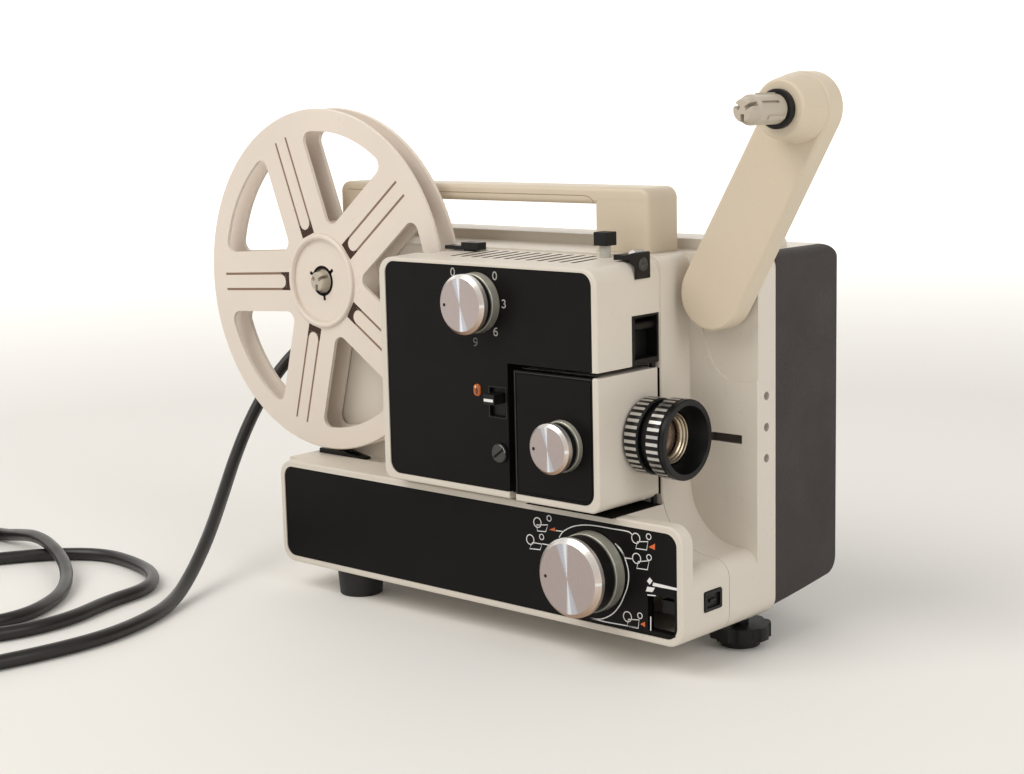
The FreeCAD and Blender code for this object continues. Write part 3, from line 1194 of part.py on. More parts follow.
def pressure_plate():
    """Sprung plate on the door that holds the film flat in the gate."""
    left = BAY_LEFT + SEAT_GAP + GATE_THICKNESS + 0.7
    plate = slab(rectangle(LENS_Y - 5, LENS_Y + 5, LENS_Z - 18, LENS_Z + 18, 1.0), on_side, left, 0.9)
    plate = plate.cut(block(-100, -80, LENS_Y - APERTURE_WIDTH / 2, LENS_Y + APERTURE_WIDTH / 2,
                            LENS_Z - APERTURE_HEIGHT / 2, LENS_Z + APERTURE_HEIGHT / 2))
    arm = block(left + 0.2, DOOR_LEFT - 0.15, LENS_Y - 13, LENS_Y - 4, LENS_Z - 5, LENS_Z + 5)
    return plate.fuse(arm).removeSplitter()


def lamp():
    """Mirror lamp: a glass reflector with its capsule and pinch."""
    outer = [(0, 0, 0), (5, 0, 0.5), (6, 9, 1.0), (14, 13, 3.0), (LAMP_RADIUS, 13 + LAMP_DEPTH - 4, 1.0),
             (LAMP_RADIUS, 13 + LAMP_DEPTH, 0), (LAMP_RADIUS - 1.6, 13 + LAMP_DEPTH, 0),
             (LAMP_RADIUS - 2.6, 13 + LAMP_DEPTH - 3, 1.0), (12, 15.5, 3.0), (4.0, 12.5, 0),
             (4.0, 30, 2.0), (0, 30, 0)]
    return turned(outer, (LAMP_FRONT_X - 13 - LAMP_DEPTH, LENS_Y, LENS_Z), (1, 0, 0))


def lamp_holder():
    """Plate that the mirror lamp's rim lies against, and the ceramic socket behind the lamp."""
    return Part.makeCompound([lamp_plate(), lamp_socket()])


def lamp_plate():
    plate = slab(rectangle(HEAD_FRONT + PANEL_BACK + WALL + SEAT_GAP, BASE_DEPTH - 1,
                           HEAD_LOW + WALL + SEAT_GAP,
                           LENS_Z + 30, 2), on_side, LAMP_FRONT_X + SEAT_GAP, 2.0)
    return plate.cut(rod(LAMP_RADIUS - 3, (LAMP_FRONT_X - 5, LENS_Y, LENS_Z), (1, 0, 0), 20))


def lamp_socket():
    left = LAMP_FRONT_X - 13 - LAMP_DEPTH
    base = block(left - 3.4, left - SEAT_GAP, LENS_Y - 8, LENS_Y + 8, HEAD_LOW + WALL + SEAT_GAP,
                 LENS_Z + 6)
    return base.cut(block(left - 6, left, LENS_Y - 4, LENS_Y + 4, LENS_Z - 2, LENS_Z + 2))


def shutter():
    """Three-bladed shutter on the main shaft."""
    disc = rod(SHUTTER_RADIUS, (SHUTTER_X, SHAFT_Y, SHAFT_Z), (1, 0, 0), SHUTTER_THICKNESS)
    for i in range(3):
        angle = math.radians(90 + 120 * i)
        spread = math.radians(30)
        far = SHUTTER_RADIUS * 1.3
        points = [V(SHUTTER_X - 1, SHAFT_Y + 13 * math.cos(angle), SHAFT_Z + 13 * math.sin(angle))]
        for turn in (-spread, spread):
            points.append(V(SHUTTER_X - 1, SHAFT_Y + far * math.cos(angle + turn),
                            SHAFT_Z + far * math.sin(angle + turn)))
        gap = Part.Face(Part.makePolygon(points + points[:1])).extrude(V(SHUTTER_THICKNESS + 2, 0, 0))
        disc = disc.cut(gap)
    hub = rod(7, (SHUTTER_X, SHAFT_Y, SHAFT_Z), (1, 0, 0), 6)
    return disc.fuse(hub)


def pulley_profile(radius, bore, width):
    groove = BELT_THICKNESS
    return [(bore, 0, 0), (radius + groove, 0, 0), (radius + groove, 1, 0), (radius, 1, 0),
            (radius, width - 1, 0), (radius + groove, width - 1, 0), (radius + groove, width, 0),
            (bore, width, 0)]


PULLEY_WIDTH = BELT_WIDTH + 2.6
PULLEY_X = BELT_X - 1.3


def main_shaft():
    """Main shaft with the driven pulley at the left and the shutter at the right."""
    shaft = rod(SHAFT_RADIUS, (SHAFT_LEFT, SHAFT_Y, SHAFT_Z), (1, 0, 0), SHAFT_RIGHT - SHAFT_LEFT)
    pulley = turned(pulley_profile(DRIVEN_PULLEY_RADIUS, SHAFT_RADIUS, PULLEY_WIDTH),
                    (PULLEY_X, SHAFT_Y, SHAFT_Z), (1, 0, 0))
    return shaft.fuse(pulley).fuse(shutter()).removeSplitter()


BEARING_PLACES = (-168.0, -90.0)


def drive_brackets():
    """Two bearing plates off the body's front wall and the motor's angle plate."""
    plates = [motor_bracket()]
    for x in BEARING_PLACES:
        plate = slab(rectangle(BASE_DEPTH + WALL + SEAT_GAP, SHAFT_Y + 9, SHAFT_Z - 10, SHAFT_Z + 10, 3),
                     on_side, x, 3)
        plates.append(plate.cut(rod(SHAFT_RADIUS + SHAFT_FIT, (x - 1, SHAFT_Y, SHAFT_Z), (1, 0, 0), 5)))
    return Part.makeCompound(plates)


def motor():
    can = turned([(0, 0, 0), (MOTOR_RADIUS, 0, 2), (MOTOR_RADIUS, MOTOR_LENGTH, 2), (0, MOTOR_LENGTH, 0)],
                 (MOTOR_LEFT, MOTOR_Y, MOTOR_Z), (1, 0, 0))
    can = can.fuse(rod(7, (MOTOR_LEFT - 2.4, MOTOR_Y, MOTOR_Z), (1, 0, 0), MOTOR_LENGTH + 4.8))
    return can.cut(rod(MOTOR_SHAFT_RADIUS + SHAFT_FIT, (MOTOR_LEFT - 10, MOTOR_Y, MOTOR_Z), (1, 0, 0),
                       MOTOR_LENGTH + 20))


def motor_bracket():
    right = MOTOR_LEFT - SEAT_GAP
    plate = slab(rectangle(40, MOTOR_Y + 20, FOOT_HEIGHT + WALL + 14, MOTOR_Z + 20, 4), on_side, right - 2,
                 2)
    leg = block(right - 2, right, 40, BODY_BACK - 2, FOOT_HEIGHT + WALL + SEAT_GAP, FOOT_HEIGHT + WALL + 20)
    foot = block(right - 2, right + 16, 40, BODY_BACK - 2, FOOT_HEIGHT + WALL + SEAT_GAP,
                 FOOT_HEIGHT + WALL + 2.2)
    plate = plate.fuse(leg).fuse(foot)
    return plate.cut(rod(7 + SEAT_GAP, (right - 5, MOTOR_Y, MOTOR_Z), (1, 0, 0), 10)).removeSplitter()


def motor_shaft():
    """Motor shaft with the small pulley at one end and the fan at the other."""
    left = PULLEY_X - 1
    right = MOTOR_LEFT + MOTOR_LENGTH + 4 + FAN_WIDTH
    shaft = rod(MOTOR_SHAFT_RADIUS, (left, MOTOR_Y, MOTOR_Z), (1, 0, 0), right - left)
    pulley = turned(pulley_profile(MOTOR_PULLEY_RADIUS, MOTOR_SHAFT_RADIUS, PULLEY_WIDTH),
                    (PULLEY_X, MOTOR_Y, MOTOR_Z), (1, 0, 0))
    return shaft.fuse(pulley).fuse(fan_wheel()).removeSplitter()


def fan_wheel():
    """Radial fan that cools the lamp."""
    left = MOTOR_LEFT + MOTOR_LENGTH + 4
    fan = rod(FAN_RADIUS, (left, MOTOR_Y, MOTOR_Z), (1, 0, 0), 1.2)
    fan = fan.fuse(rod(6, (left, MOTOR_Y, MOTOR_Z), (1, 0, 0), FAN_WIDTH - 1))
    blades = 12
    for i in range(blades):
        blade = block(left, left + FAN_WIDTH - 2, MOTOR_Y - 0.5, MOTOR_Y + 0.5, MOTOR_Z + 14,
                      MOTOR_Z + FAN_RADIUS - 0.3)
        blade.rotate(V(left, MOTOR_Y, MOTOR_Z), V(1, 0, 0), i * 360 / blades)
        fan = fan.fuse(blade)
    return fan


def drive_belt():
    """Flat belt from the motor pulley to the main shaft."""
    play = 0.12
    first, second = (0, 0), (MOTOR_Y - SHAFT_Y, MOTOR_Z - SHAFT_Z)
    outer = two_circle_slab(first, DRIVEN_PULLEY_RADIUS + BELT_THICKNESS, second,
                            MOTOR_PULLEY_RADIUS + BELT_THICKNESS, 0, BELT_WIDTH)
    inner = two_circle_slab(first, DRIVEN_PULLEY_RADIUS + play, second, MOTOR_PULLEY_RADIUS + play, -1,
                            BELT_WIDTH + 2)
    loop = outer.cut(inner)
    loop.rotate(V(0, 0, 0), V(0, 0, 1), 90)
    loop.translate(V(BELT_X + BELT_WIDTH, SHAFT_Y, SHAFT_Z))
    return loop


TRANSFORMER_GAP = 12.6
TRANSFORMER_LENGTH = 52.0
TRANSFORMER_HEIGHT = 46.0
COIL_MARGIN = 10.0


def transformer():
    """Mains transformer on the body floor, at the left."""
    low = FOOT_HEIGHT + WALL + SEAT_GAP
    left = LEFT + TRANSFORMER_GAP
    right = left + TRANSFORMER_LENGTH
    core = block(left, right, 40, 62, low, low + TRANSFORMER_HEIGHT)
    coil = block(left + COIL_MARGIN, right - COIL_MARGIN, 37.5, 78, low + COIL_MARGIN,
                 low + TRANSFORMER_HEIGHT - COIL_MARGIN)
    return core.fuse(coil).removeSplitter()


# Take-up reel and spindle

def reel_window(angle, start, depth):
    """One opening between two spokes: straight sides, a round outer side and soft corners."""
    half = math.radians(180 / WINDOW_COUNT)
    apex = SPOKE_HALF_WIDTH / math.sin(half)
    reach = REEL_RADIUS * 1.2
    low = V(apex, 0, 0)
    wide = [V(apex + reach * math.cos(half), 0, side * reach * math.sin(half)) for side in (-1, 1)]
    wedge = Part.Face(Part.makePolygon([low, wide[0], wide[1], low])).extrude(V(0, depth, 0))
    wedge = wedge.common(rod(WINDOW_OUTER_RADIUS, (0, 0, 0), (0, 1, 0), depth))
    wedge = wedge.makeFillet(WINDOW_CORNER - 0.1, straight_edges(wedge, "y"))
    wedge.rotate(V(0, 0, 0), V(0, 1, 0), -angle)
    wedge.translate(V(REEL_X, start, REEL_Z))
    return wedge


def spoke_slot(angle, start, depth):
    """U-shaped slot along a spoke: two legs and the cross cut that frees the tongue."""
    legs = []
    for side in (-1, 1):
        middle = side * SPOKE_SLOT_OFFSET
        legs.append(block(SPOKE_SLOT_INNER, SPOKE_SLOT_OUTER, 0, depth, middle - SPOKE_SLOT_WIDTH / 2,
                          middle + SPOKE_SLOT_WIDTH / 2))
    cross = block(SPOKE_SLOT_INNER, TONGUE_END, 0, depth, -SPOKE_SLOT_OFFSET, SPOKE_SLOT_OFFSET)
    slot = legs[0].fuse(legs[1]).fuse(cross)
    slot.rotate(V(0, 0, 0), V(0, 1, 0), -angle)
    slot.translate(V(REEL_X, start, REEL_Z))
    return slot


def reel_flange(start):
    profile = [(HUB_HOLE, 0, 0), (REEL_RADIUS, 0, 0.6), (REEL_RADIUS, FLANGE_THICKNESS, 0.6),
               (HUB_HOLE, FLANGE_THICKNESS, 0)]
    flange = turned(profile, (REEL_X, start, REEL_Z), (0, 1, 0))
    step = 360 / WINDOW_COUNT
    for i in range(WINDOW_COUNT):
        flange = flange.cut(reel_window(FIRST_WINDOW_ANGLE + i * step, start - 1, FLANGE_THICKNESS + 2))
        flange = flange.cut(spoke_slot(FIRST_WINDOW_ANGLE + step / 2 + i * step, start - 1,
                                       FLANGE_THICKNESS + 2))
    return flange


def reel_front_flange():
    """Front flange with its five windows, spoke slots and raised hub rim."""
    flange = reel_flange(REEL_FRONT)
    rim = tube(HUB_RIM_OUTER, HUB_RIM_INNER, (REEL_X, REEL_FRONT - HUB_RIM_RISE, REEL_Z), (0, 1, 0),
               HUB_RIM_RISE + 0.5)
    flange = flange.fuse(rim)
    return flange.cut(rod(HUB_RIM_INNER, (REEL_X, REEL_FRONT - 1, REEL_Z), (0, 1, 0), 1.6)).removeSplitter()


def reel_hub():
    """Winding drum and centre tube, moulded with the rear flange."""
    inner_front = REEL_FRONT + FLANGE_THICKNESS
    back = REEL_FRONT + REEL_WIDTH - FLANGE_THICKNESS
    flange = reel_flange(back)
    drum = tube(HUB_RADIUS, HUB_RADIUS - 2, (REEL_X, inner_front, REEL_Z), (0, 1, 0), back - inner_front)
    centre = tube(HUB_HOLE + 2.5, HUB_HOLE, (REEL_X, inner_front, REEL_Z), (0, 1, 0), back - inner_front)
    return flange.fuse(drum).fuse(centre).removeSplitter()


def claw_spindle(x, z, tip, length, key_radius):
    """Reel spindle: a slotted sleeve with three keys and a stepped tip, along y from tip."""
    profile = [(0, 0, 0), (SPINDLE_RADIUS - 1.6, 0, 0.8), (SPINDLE_RADIUS - 1.0, 4.5, 0),
               (SPINDLE_RADIUS, 5.5, 0),
               (SPINDLE_RADIUS, length, 0), (0, length, 0)]
    sleeve = turned(profile, (x, tip, z), (0, 1, 0))
    for i in range(3):
        slot = block(x - 0.9, x + 0.9, tip - 1, tip + 4.4, z + 1.6, z + SPINDLE_RADIUS + 1)
        groove = block(x - 0.6, x + 0.6, tip + 6.5, tip + length * 0.8, z + SPINDLE_RADIUS - 1.2,
                       z + SPINDLE_RADIUS + 1)
        key = block(x - 0.9, x + 0.9, tip + length * 0.45, tip + length - 1, z + SPINDLE_RADIUS - 1.5,
                    z + key_radius)
        slot.rotate(V(x, tip, z), V(0, 1, 0), 120 * i + 60)
        groove.rotate(V(x, tip, z), V(0, 1, 0), 120 * i + 60)
        key.rotate(V(x, tip, z), V(0, 1, 0), 120 * i)
        sleeve = sleeve.cut(slot).cut(groove).fuse(key)
    return sleeve


TAKEUP_TIP = 16.6
TAKEUP_SHOULDER = BASE_DEPTH - 0.25


def takeup_spindle():
    sleeve = claw_spindle(REEL_X, REEL_Z, TAKEUP_TIP, TAKEUP_SHOULDER - TAKEUP_TIP, HUB_HOLE - 0.1)
    flange = rod(11, (REEL_X, REEL_FRONT + REEL_WIDTH + 0.15, REEL_Z), (0, 1, 0),
                 TAKEUP_SHOULDER - REEL_FRONT - REEL_WIDTH - 0.15)
    shaft = rod(TAKEUP_SHAFT_RADIUS, (REEL_X, TAKEUP_SHOULDER - 1, REEL_Z), (0, 1, 0), TAKEUP_BEARING + 1.4)
    return sleeve.fuse(flange).fuse(shaft).removeSplitter()


# Supply arm

ARM_BACK = ARM_FRONT + ARM_THICKNESS
PIVOT = (ARM_PIVOT_X, ARM_PIVOT_Z)
TIP = (ARM_TIP_X, ARM_TIP_Z)


def supply_arm():
    """Hollow arm with the tapered boss that carries the supply spindle."""
    arm = two_circle_slab(PIVOT, ARM_PIVOT_RADIUS, TIP, ARM_END_RADIUS, ARM_FRONT, ARM_THICKNESS)
    arm = arm.makeFillet(1.5, edges_in_plane(arm, "y", ARM_FRONT) + edges_in_plane(arm, "y", ARM_BACK))
    inside = two_circle_slab(PIVOT, ARM_PIVOT_RADIUS - ARM_SKIN, TIP, ARM_END_RADIUS - ARM_SKIN,
                             ARM_FRONT + ARM_SKIN, ARM_THICKNESS)
    arm = arm.cut(inside)
    profile = [(0, -1, 0), (BOSS_BASE_RADIUS - 0.6, -1, 0), (BOSS_BASE_RADIUS, 0, 0),
               (BOSS_BASE_RADIUS, 2.5, 2.0),
               (BOSS_FACE_RADIUS, BOSS_LENGTH, 1.5), (0, BOSS_LENGTH, 0)]
    boss = turned(profile, (ARM_TIP_X, ARM_FRONT, ARM_TIP_Z), (0, -1, 0))
    arm = arm.fuse(boss)
    arm = arm.cut(rod(SPINDLE_CORE_RADIUS + SHAFT_FIT, (ARM_TIP_X, 0, ARM_TIP_Z), (0, 1, 0), 60))
    return arm.removeSplitter()


def arm_back_plate():
    """Plate that closes the back of the arm and turns on the pivot tube."""
    plate = two_circle_slab(PIVOT, ARM_PIVOT_RADIUS - ARM_SKIN - 0.1, TIP, ARM_END_RADIUS - ARM_SKIN - 0.1,
                            ARM_BACK - 2.2, 2.0)
    plate = plate.cut(rod(PIVOT_TUBE_RADIUS + SHAFT_FIT, (ARM_PIVOT_X, ARM_FRONT, ARM_PIVOT_Z), (0, 1, 0),
                          30))
    return plate.cut(rod(SPINDLE_CORE_RADIUS + SHAFT_FIT, (ARM_TIP_X, ARM_FRONT, ARM_TIP_Z), (0, 1, 0), 30))


def arm_pivot_tube():
    return tube(PIVOT_TUBE_RADIUS, SPINDLE_CORE_RADIUS + SHAFT_FIT,
                (ARM_PIVOT_X, ARM_BACK - 3.6, ARM_PIVOT_Z), (0, 1, 0),
                BODY_BACK - ARM_BACK + 3.6)


def arm_pulley(centre, start):
    profile = pulley_profile(ARM_PULLEY_RADIUS, SPINDLE_CORE_RADIUS, 5.0)
    return turned(profile, (centre[0], start, centre[1]), (0, 1, 0))


ARM_PULLEY_START = ARM_FRONT + ARM_SKIN + 0.2


def arm_drive():
    """Rewind drive shaft through the pivot tube, with its pulley inside the arm."""
    shaft = rod(SPINDLE_CORE_RADIUS, (ARM_PIVOT_X, ARM_PULLEY_START, ARM_PIVOT_Z), (0, 1, 0),
                BODY_BACK + 6 - ARM_PULLEY_START)
    return shaft.fuse(arm_pulley(PIVOT, ARM_PULLEY_START)).removeSplitter()


def arm_belt():
    play = 0.12
    outer = two_circle_slab(PIVOT, ARM_PULLEY_RADIUS + BELT_THICKNESS, TIP,
                            ARM_PULLEY_RADIUS + BELT_THICKNESS,
                            ARM_PULLEY_START + 1.2, 2.6)
    inner = two_circle_slab(PIVOT, ARM_PULLEY_RADIUS + play, TIP, ARM_PULLEY_RADIUS + play,
                            ARM_PULLEY_START, 5)
    return outer.cut(inner)


BOSS_FACE_Y = ARM_FRONT - BOSS_LENGTH
SUPPLY_TIP = BOSS_FACE_Y - SPINDLE_RING_WIDTH - SPINDLE_LENGTH


def supply_spindle():
    sleeve = claw_spindle(ARM_TIP_X, ARM_TIP_Z, SUPPLY_TIP, SPINDLE_LENGTH, HUB_HOLE - 0.1)
    shaft = rod(SPINDLE_CORE_RADIUS, (ARM_TIP_X, SUPPLY_TIP + SPINDLE_LENGTH - 1, ARM_TIP_Z), (0, 1, 0),
                ARM_BACK - 0.6 - SUPPLY_TIP - SPINDLE_LENGTH + 1)
    return sleeve.fuse(shaft).fuse(arm_pulley(TIP, ARM_PULLEY_START)).removeSplitter()


def spindle_ring():
    """Black collar between the spindle and the boss."""
    start = SUPPLY_TIP + SPINDLE_LENGTH
    profile = [(SPINDLE_CORE_RADIUS, 0.05, 0), (SPINDLE_RING_RADIUS - 0.6, 0.05, 0),
               (SPINDLE_RING_RADIUS, 0.7, 0),
               (SPINDLE_RING_RADIUS, SPINDLE_RING_WIDTH - 0.15, 0),
               (SPINDLE_CORE_RADIUS, SPINDLE_RING_WIDTH - 0.15, 0)]
    return turned(profile, (ARM_TIP_X, start, ARM_TIP_Z), (0, 1, 0))


# Handle

def carrying_handle():
    """Sliding bridge handle: two hollow posts and a flat grip."""
    low = BODY_TOP - HANDLE_HIDDEN
    whole = slab(rectangle(HANDLE_LEFT, HANDLE_RIGHT, low, HANDLE_TOP, HANDLE_ROUND), on_front,
                 HANDLE_FRONT,
                 HANDLE_BACK - HANDLE_FRONT)
    opening = [(HANDLE_LEFT + HANDLE_POST, low - 10, 0), (HANDLE_RIGHT - HANDLE_POST, low - 10, 0),
               (HANDLE_RIGHT - HANDLE_POST, HANDLE_TOP - HANDLE_GRIP, 4),
               (HANDLE_LEFT + HANDLE_POST, HANDLE_TOP - HANDLE_GRIP, 4)]
    whole = whole.cut(slab(opening, on_front, HANDLE_FRONT - 1, HANDLE_BACK - HANDLE_FRONT + 2))
    whole = whole.makeFillet(1.6, edges_in_plane(whole, "y", HANDLE_FRONT) + edges_in_plane(whole, "y",
                                                                                            HANDLE_BACK))
    for left in (HANDLE_LEFT, HANDLE_RIGHT - HANDLE_POST):
        whole = whole.cut(slab(rectangle(left + WALL, left + HANDLE_POST - WALL, HANDLE_FRONT + WALL,
                                         HANDLE_BACK - WALL, 2), on_top, low - 1,
                               HANDLE_TOP - low - WALL * 2))
    return whole.removeSplitter()


# Film trimmer

def trimmer_button():
    """Push button with a recessed face, and the blade that it drives behind the front window."""
    inset = 0.35
    outline = rectangle(BUTTON_FRONT + inset, BUTTON_BACK - inset, BUTTON_LOW + inset, BUTTON_HIGH - inset,
                        0.8)
    button = slab(outline, on_side, -WALL - 4, WALL + 4.6)
    hollow = rectangle(BUTTON_FRONT + 1.8, BUTTON_BACK - 1.8, BUTTON_LOW + 1.7, BUTTON_HIGH - 1.7, 0.6)
    button = button.cut(slab(hollow, on_side, -0.6, 2))
    middle = (BUTTON_LOW + BUTTON_HIGH) / 2
    button = button.fuse(block(-1, 0.3, BUTTON_FRONT + 4.5, BUTTON_BACK - 4.5, middle - 0.6, middle + 0.6))
    flange = slab(rectangle(BUTTON_FRONT - 1.4, BUTTON_BACK + 1.4, BUTTON_LOW - 1.4, BUTTON_HIGH + 1.4, 1),
                  on_side, -WALL - 3.4, 3.2)
    return button.fuse(flange).fuse(trimmer_blade()).removeSplitter()


def trimmer_blade():
    """Blade carrier seen through the window in the base panel."""
    low, high = TRIMMER_WINDOW_LOW + 2, TRIMMER_WINDOW_HIGH - 1.2
    back = BUTTON_FRONT + 4
    plate = block(TRIMMER_WINDOW_LEFT + BUTTON_TRAVEL + 0.3, -WALL - 3.8, PANEL_BACK + WALL + 0.6, back,
                  low + 5.6, high - 2)
    return plate.cut(block(-13.5, 0, PANEL_BACK + WALL + 3, back + 1, low, high - 4))


# Feet

def fixed_feet():
    feet = []
    for y in (FRONT_FOOT_Y, REAR_FOOT_Y):
        profile = [(0, 0, 0), (FOOT_RADIUS - 1, 0, 1.0), (FOOT_RADIUS, FOOT_HEIGHT - SEAT_GAP, 0.5),
                   (FOOT_STEM_RADIUS - SHAFT_FIT, FOOT_HEIGHT - SEAT_GAP, 0),
                   (FOOT_STEM_RADIUS - SHAFT_FIT, FOOT_HEIGHT + WALL * 2, 0.5),
                   (0, FOOT_HEIGHT + WALL * 2, 0)]
        feet.append(turned(profile, (FIXED_FOOT_X, y, 0), (0, 0, 1)))
    return Part.makeCompound(feet)


PAD_HEIGHT = 3.8
WHEEL_HEIGHT = 6.4


def foot_pad():
    profile = [(0, 0, 0), (SCREW_FOOT_PAD - 1, 0, 0.8), (SCREW_FOOT_PAD, PAD_HEIGHT, 0),
               (2.5, PAD_HEIGHT, 0),
               (2.5, PAD_HEIGHT + 3, 0), (0, PAD_HEIGHT + 3, 0)]
    return turned(profile, (SCREW_FOOT_X, SCREW_FOOT_Y, 0), (0, 0, 1))


def foot_wheel():
    """Lobed hand wheel with its screw."""
    low = PAD_HEIGHT + SEAT_GAP
    wheel = rod(SCREW_FOOT_WHEEL, (SCREW_FOOT_X, SCREW_FOOT_Y, low), (0, 0, 1), WHEEL_HEIGHT)
    for i in range(SCREW_FOOT_LOBES):
        angle = 2 * math.pi * (i + 0.5) / SCREW_FOOT_LOBES
        place = (SCREW_FOOT_X + (SCREW_FOOT_WHEEL + 2.2) * math.cos(angle),
                 SCREW_FOOT_Y + (SCREW_FOOT_WHEEL + 2.2) * math.sin(angle), low - 1)
        wheel = wheel.cut(rod(3.4, place, (0, 0, 1), WHEEL_HEIGHT + 2))
    screw = rod(SCREW_RADIUS, (SCREW_FOOT_X, SCREW_FOOT_Y, low + WHEEL_HEIGHT - 1), (0, 0, 1), 20)
    wheel = wheel.fuse(screw)
    return wheel.cut(rod(2.5 + SHAFT_FIT, (SCREW_FOOT_X, SCREW_FOOT_Y, low - 1), (0, 0, 1),
                         5)).removeSplitter()


# Mains lead

def strain_relief():
    """Tapered rubber sleeve where the lead leaves the left end."""
    start = LEFT + WALL - 0.4
    profile = [(CORD_RADIUS - 1, 0, 0), (RELIEF_BASE_RADIUS - 1.6, 0, 0),
               (RELIEF_BASE_RADIUS - 1.6, WALL - 0.4 + 0.2, 0),
               (RELIEF_BASE_RADIUS, WALL - 0.4 + 0.2, 0), (RELIEF_BASE_RADIUS, WALL + 3, 0.5),
               (RELIEF_TIP_RADIUS, RELIEF_LENGTH + WALL - 0.4, 0.4), (0, RELIEF_LENGTH + WALL - 0.4, 0),
               (0, 4, 0), (CORD_RADIUS - 1, 4, 0)]
    return turned(profile, (start, CORD_EXIT_Y, CORD_EXIT_Z), (-1, 0, 0))


def route_points():
    return [V(LEFT - RELIEF_LENGTH, CORD_EXIT_Y, CORD_EXIT_Z)] + [V(*p) for p in CORD_ROUTE]


def rounded_path(points):
    """Straight runs joined by the largest tangent arcs that they allow."""
    radii = []
    edges = []
    end = points[0]
    for before, here, after in zip(points, points[1:], points[2:]):
        back, ahead = (before - here), (after - here)
        shorter = min(back.Length, ahead.Length)
        back.normalize()
        ahead.normalize()
        half_turn = (math.pi - back.getAngle(ahead)) / 2
        radius = 0.45 * shorter / math.tan(half_turn)
        reach = 0.45 * shorter
        centre = here + (back + ahead).normalize() * (radius / math.cos(half_turn))
        middle = centre + (here - centre).normalize() * radius
        start = here + back * reach
        edges.append(Part.LineSegment(end, start).toShape())
        end = here + ahead * reach
        edges.append(Part.Arc(start, middle, end).toShape())
        radii.append(radius)
    edges.append(Part.LineSegment(end, points[-1]).toShape())
    return Part.Wire(edges), radii


def swept_tube(path, start, heading):
    ring = Part.Wire(Part.makeCircle(CORD_RADIUS, start, heading))
    return path.makePipeShell([ring], True, False)


def mains_cord():
    points = route_points()
    path, radii = rounded_path(points)
    lead = swept_tube(path, points[0], points[1] - points[0])
    expected = math.pi * CORD_RADIUS ** 2 * path.Length
    print("cord length", round(path.Length, 1), "volume ratio", round(lead.Volume / expected, 5))
    print("cord radii", [round(r) for r in radii], "smallest", round(min(radii), 1))
    return lead


def coil_place(turn):
    """Centre line of the coil after this many turns, going out again in the upper layer."""
    flat = (COIL_TURNS - 0.5) / 2
    outer = COIL_MIDDLE_RADIUS + COIL_PITCH * flat / 2
    if turn <= flat:
        radius = outer - COIL_PITCH * turn
        rise = 0.0
    elif turn >= flat + 0.5:
        radius = outer - COIL_PITCH * (COIL_TURNS - turn)
        rise = COIL_LAYER_STEP
    else:
        share = (turn - flat) / 0.5
        radius = outer - COIL_PITCH * (flat + 0.5 * share * (1 - share))
        rise = COIL_LAYER_STEP * share * share * (3 - 2 * share)
    return radius, rise


def coil_point(turn):
    """The coil starts where the lead ends, and goes round anticlockwise seen from above."""
    radius, rise = coil_place(turn)
    first = coil_place(0)[0]
    end = V(*CORD_ROUTE[-1])
    angle = math.pi / 2 + 2 * math.pi * turn
    centre = end + V(-2 * CORD_RADIUS, -first, 0)
    return centre + V(radius * math.cos(angle), radius * math.sin(angle), rise)


def coil_heading(turn):
    step = 1e-4
    ahead = min(turn + step, COIL_TURNS)
    behind = max(turn - step, 0)
    return (coil_point(ahead) - coil_point(behind)).normalize()


def arc_middle(start, corner, end):
    """Middle of the arc whose end tangents meet in corner."""
    middle = (start + end) * 0.5
    half_chord = (end - start).Length / 2
    height = (corner - middle).Length
    return middle + (corner - middle) * (math.tan(math.atan2(height, half_chord) / 2) * half_chord / height)


def biarc(start, heading, end, final):
    """Two arcs that join two places with their headings."""
    span = end - start
    both = heading + final
    spread = 2 * (1 - heading.dot(final))
    reach = (math.sqrt(span.dot(both) ** 2 + spread * span.dot(span)) - span.dot(both)) / spread
    first_corner, last_corner = start + heading * reach, end - final * reach
    joint = (first_corner + last_corner) * 0.5
    return [Part.Arc(start, arc_middle(start, first_corner, joint), joint).toShape(),
            Part.Arc(joint, arc_middle(joint, last_corner, end), end).toShape()]


def coil_path():
    """A straight start, half-turn biarcs and a straight end."""
    lead_in = V(*CORD_ROUTE[-1])
    begin = coil_point(0)
    edges = [Part.LineSegment(lead_in, begin).toShape()]
    steps = int(COIL_TURNS * 4)
    for i in range(steps):
        first, last = COIL_TURNS * i / steps, COIL_TURNS * (i + 1) / steps
        first_heading = COIL_START_HEADING if i == 0 else coil_heading(first)
        edges.extend(biarc(coil_point(first), first_heading, coil_point(last), coil_heading(last)))
    heading = coil_heading(COIL_TURNS)
    end = coil_point(COIL_TURNS)
    tail = end + heading * COIL_TAIL
    edges.append(Part.LineSegment(end, tail).toShape())
    return Part.Wire(edges), tail, heading


def least_gap(path):
    """Smallest clear distance of the coil to itself, measured on points of its centre line."""
    count = 600
    points = path.discretize(count)
    step = path.Length / (count - 1)
    apart = int(math.pi * CORD_RADIUS * 4 / step)
    least = min((points[i] - points[j]).Length for i in range(count) for j in range(i + apart, count))
    return least - 2 * CORD_RADIUS


def cord_coil():
    path = coil_path()[0]
    lead = swept_tube(path, V(*CORD_ROUTE[-1]), COIL_START_HEADING)
    expected = math.pi * CORD_RADIUS ** 2 * path.Length
    print("coil length", round(path.Length, 1), "least gap", round(least_gap(path), 2),
          "volume ratio", round(lead.Volume / expected, 5))
    return lead


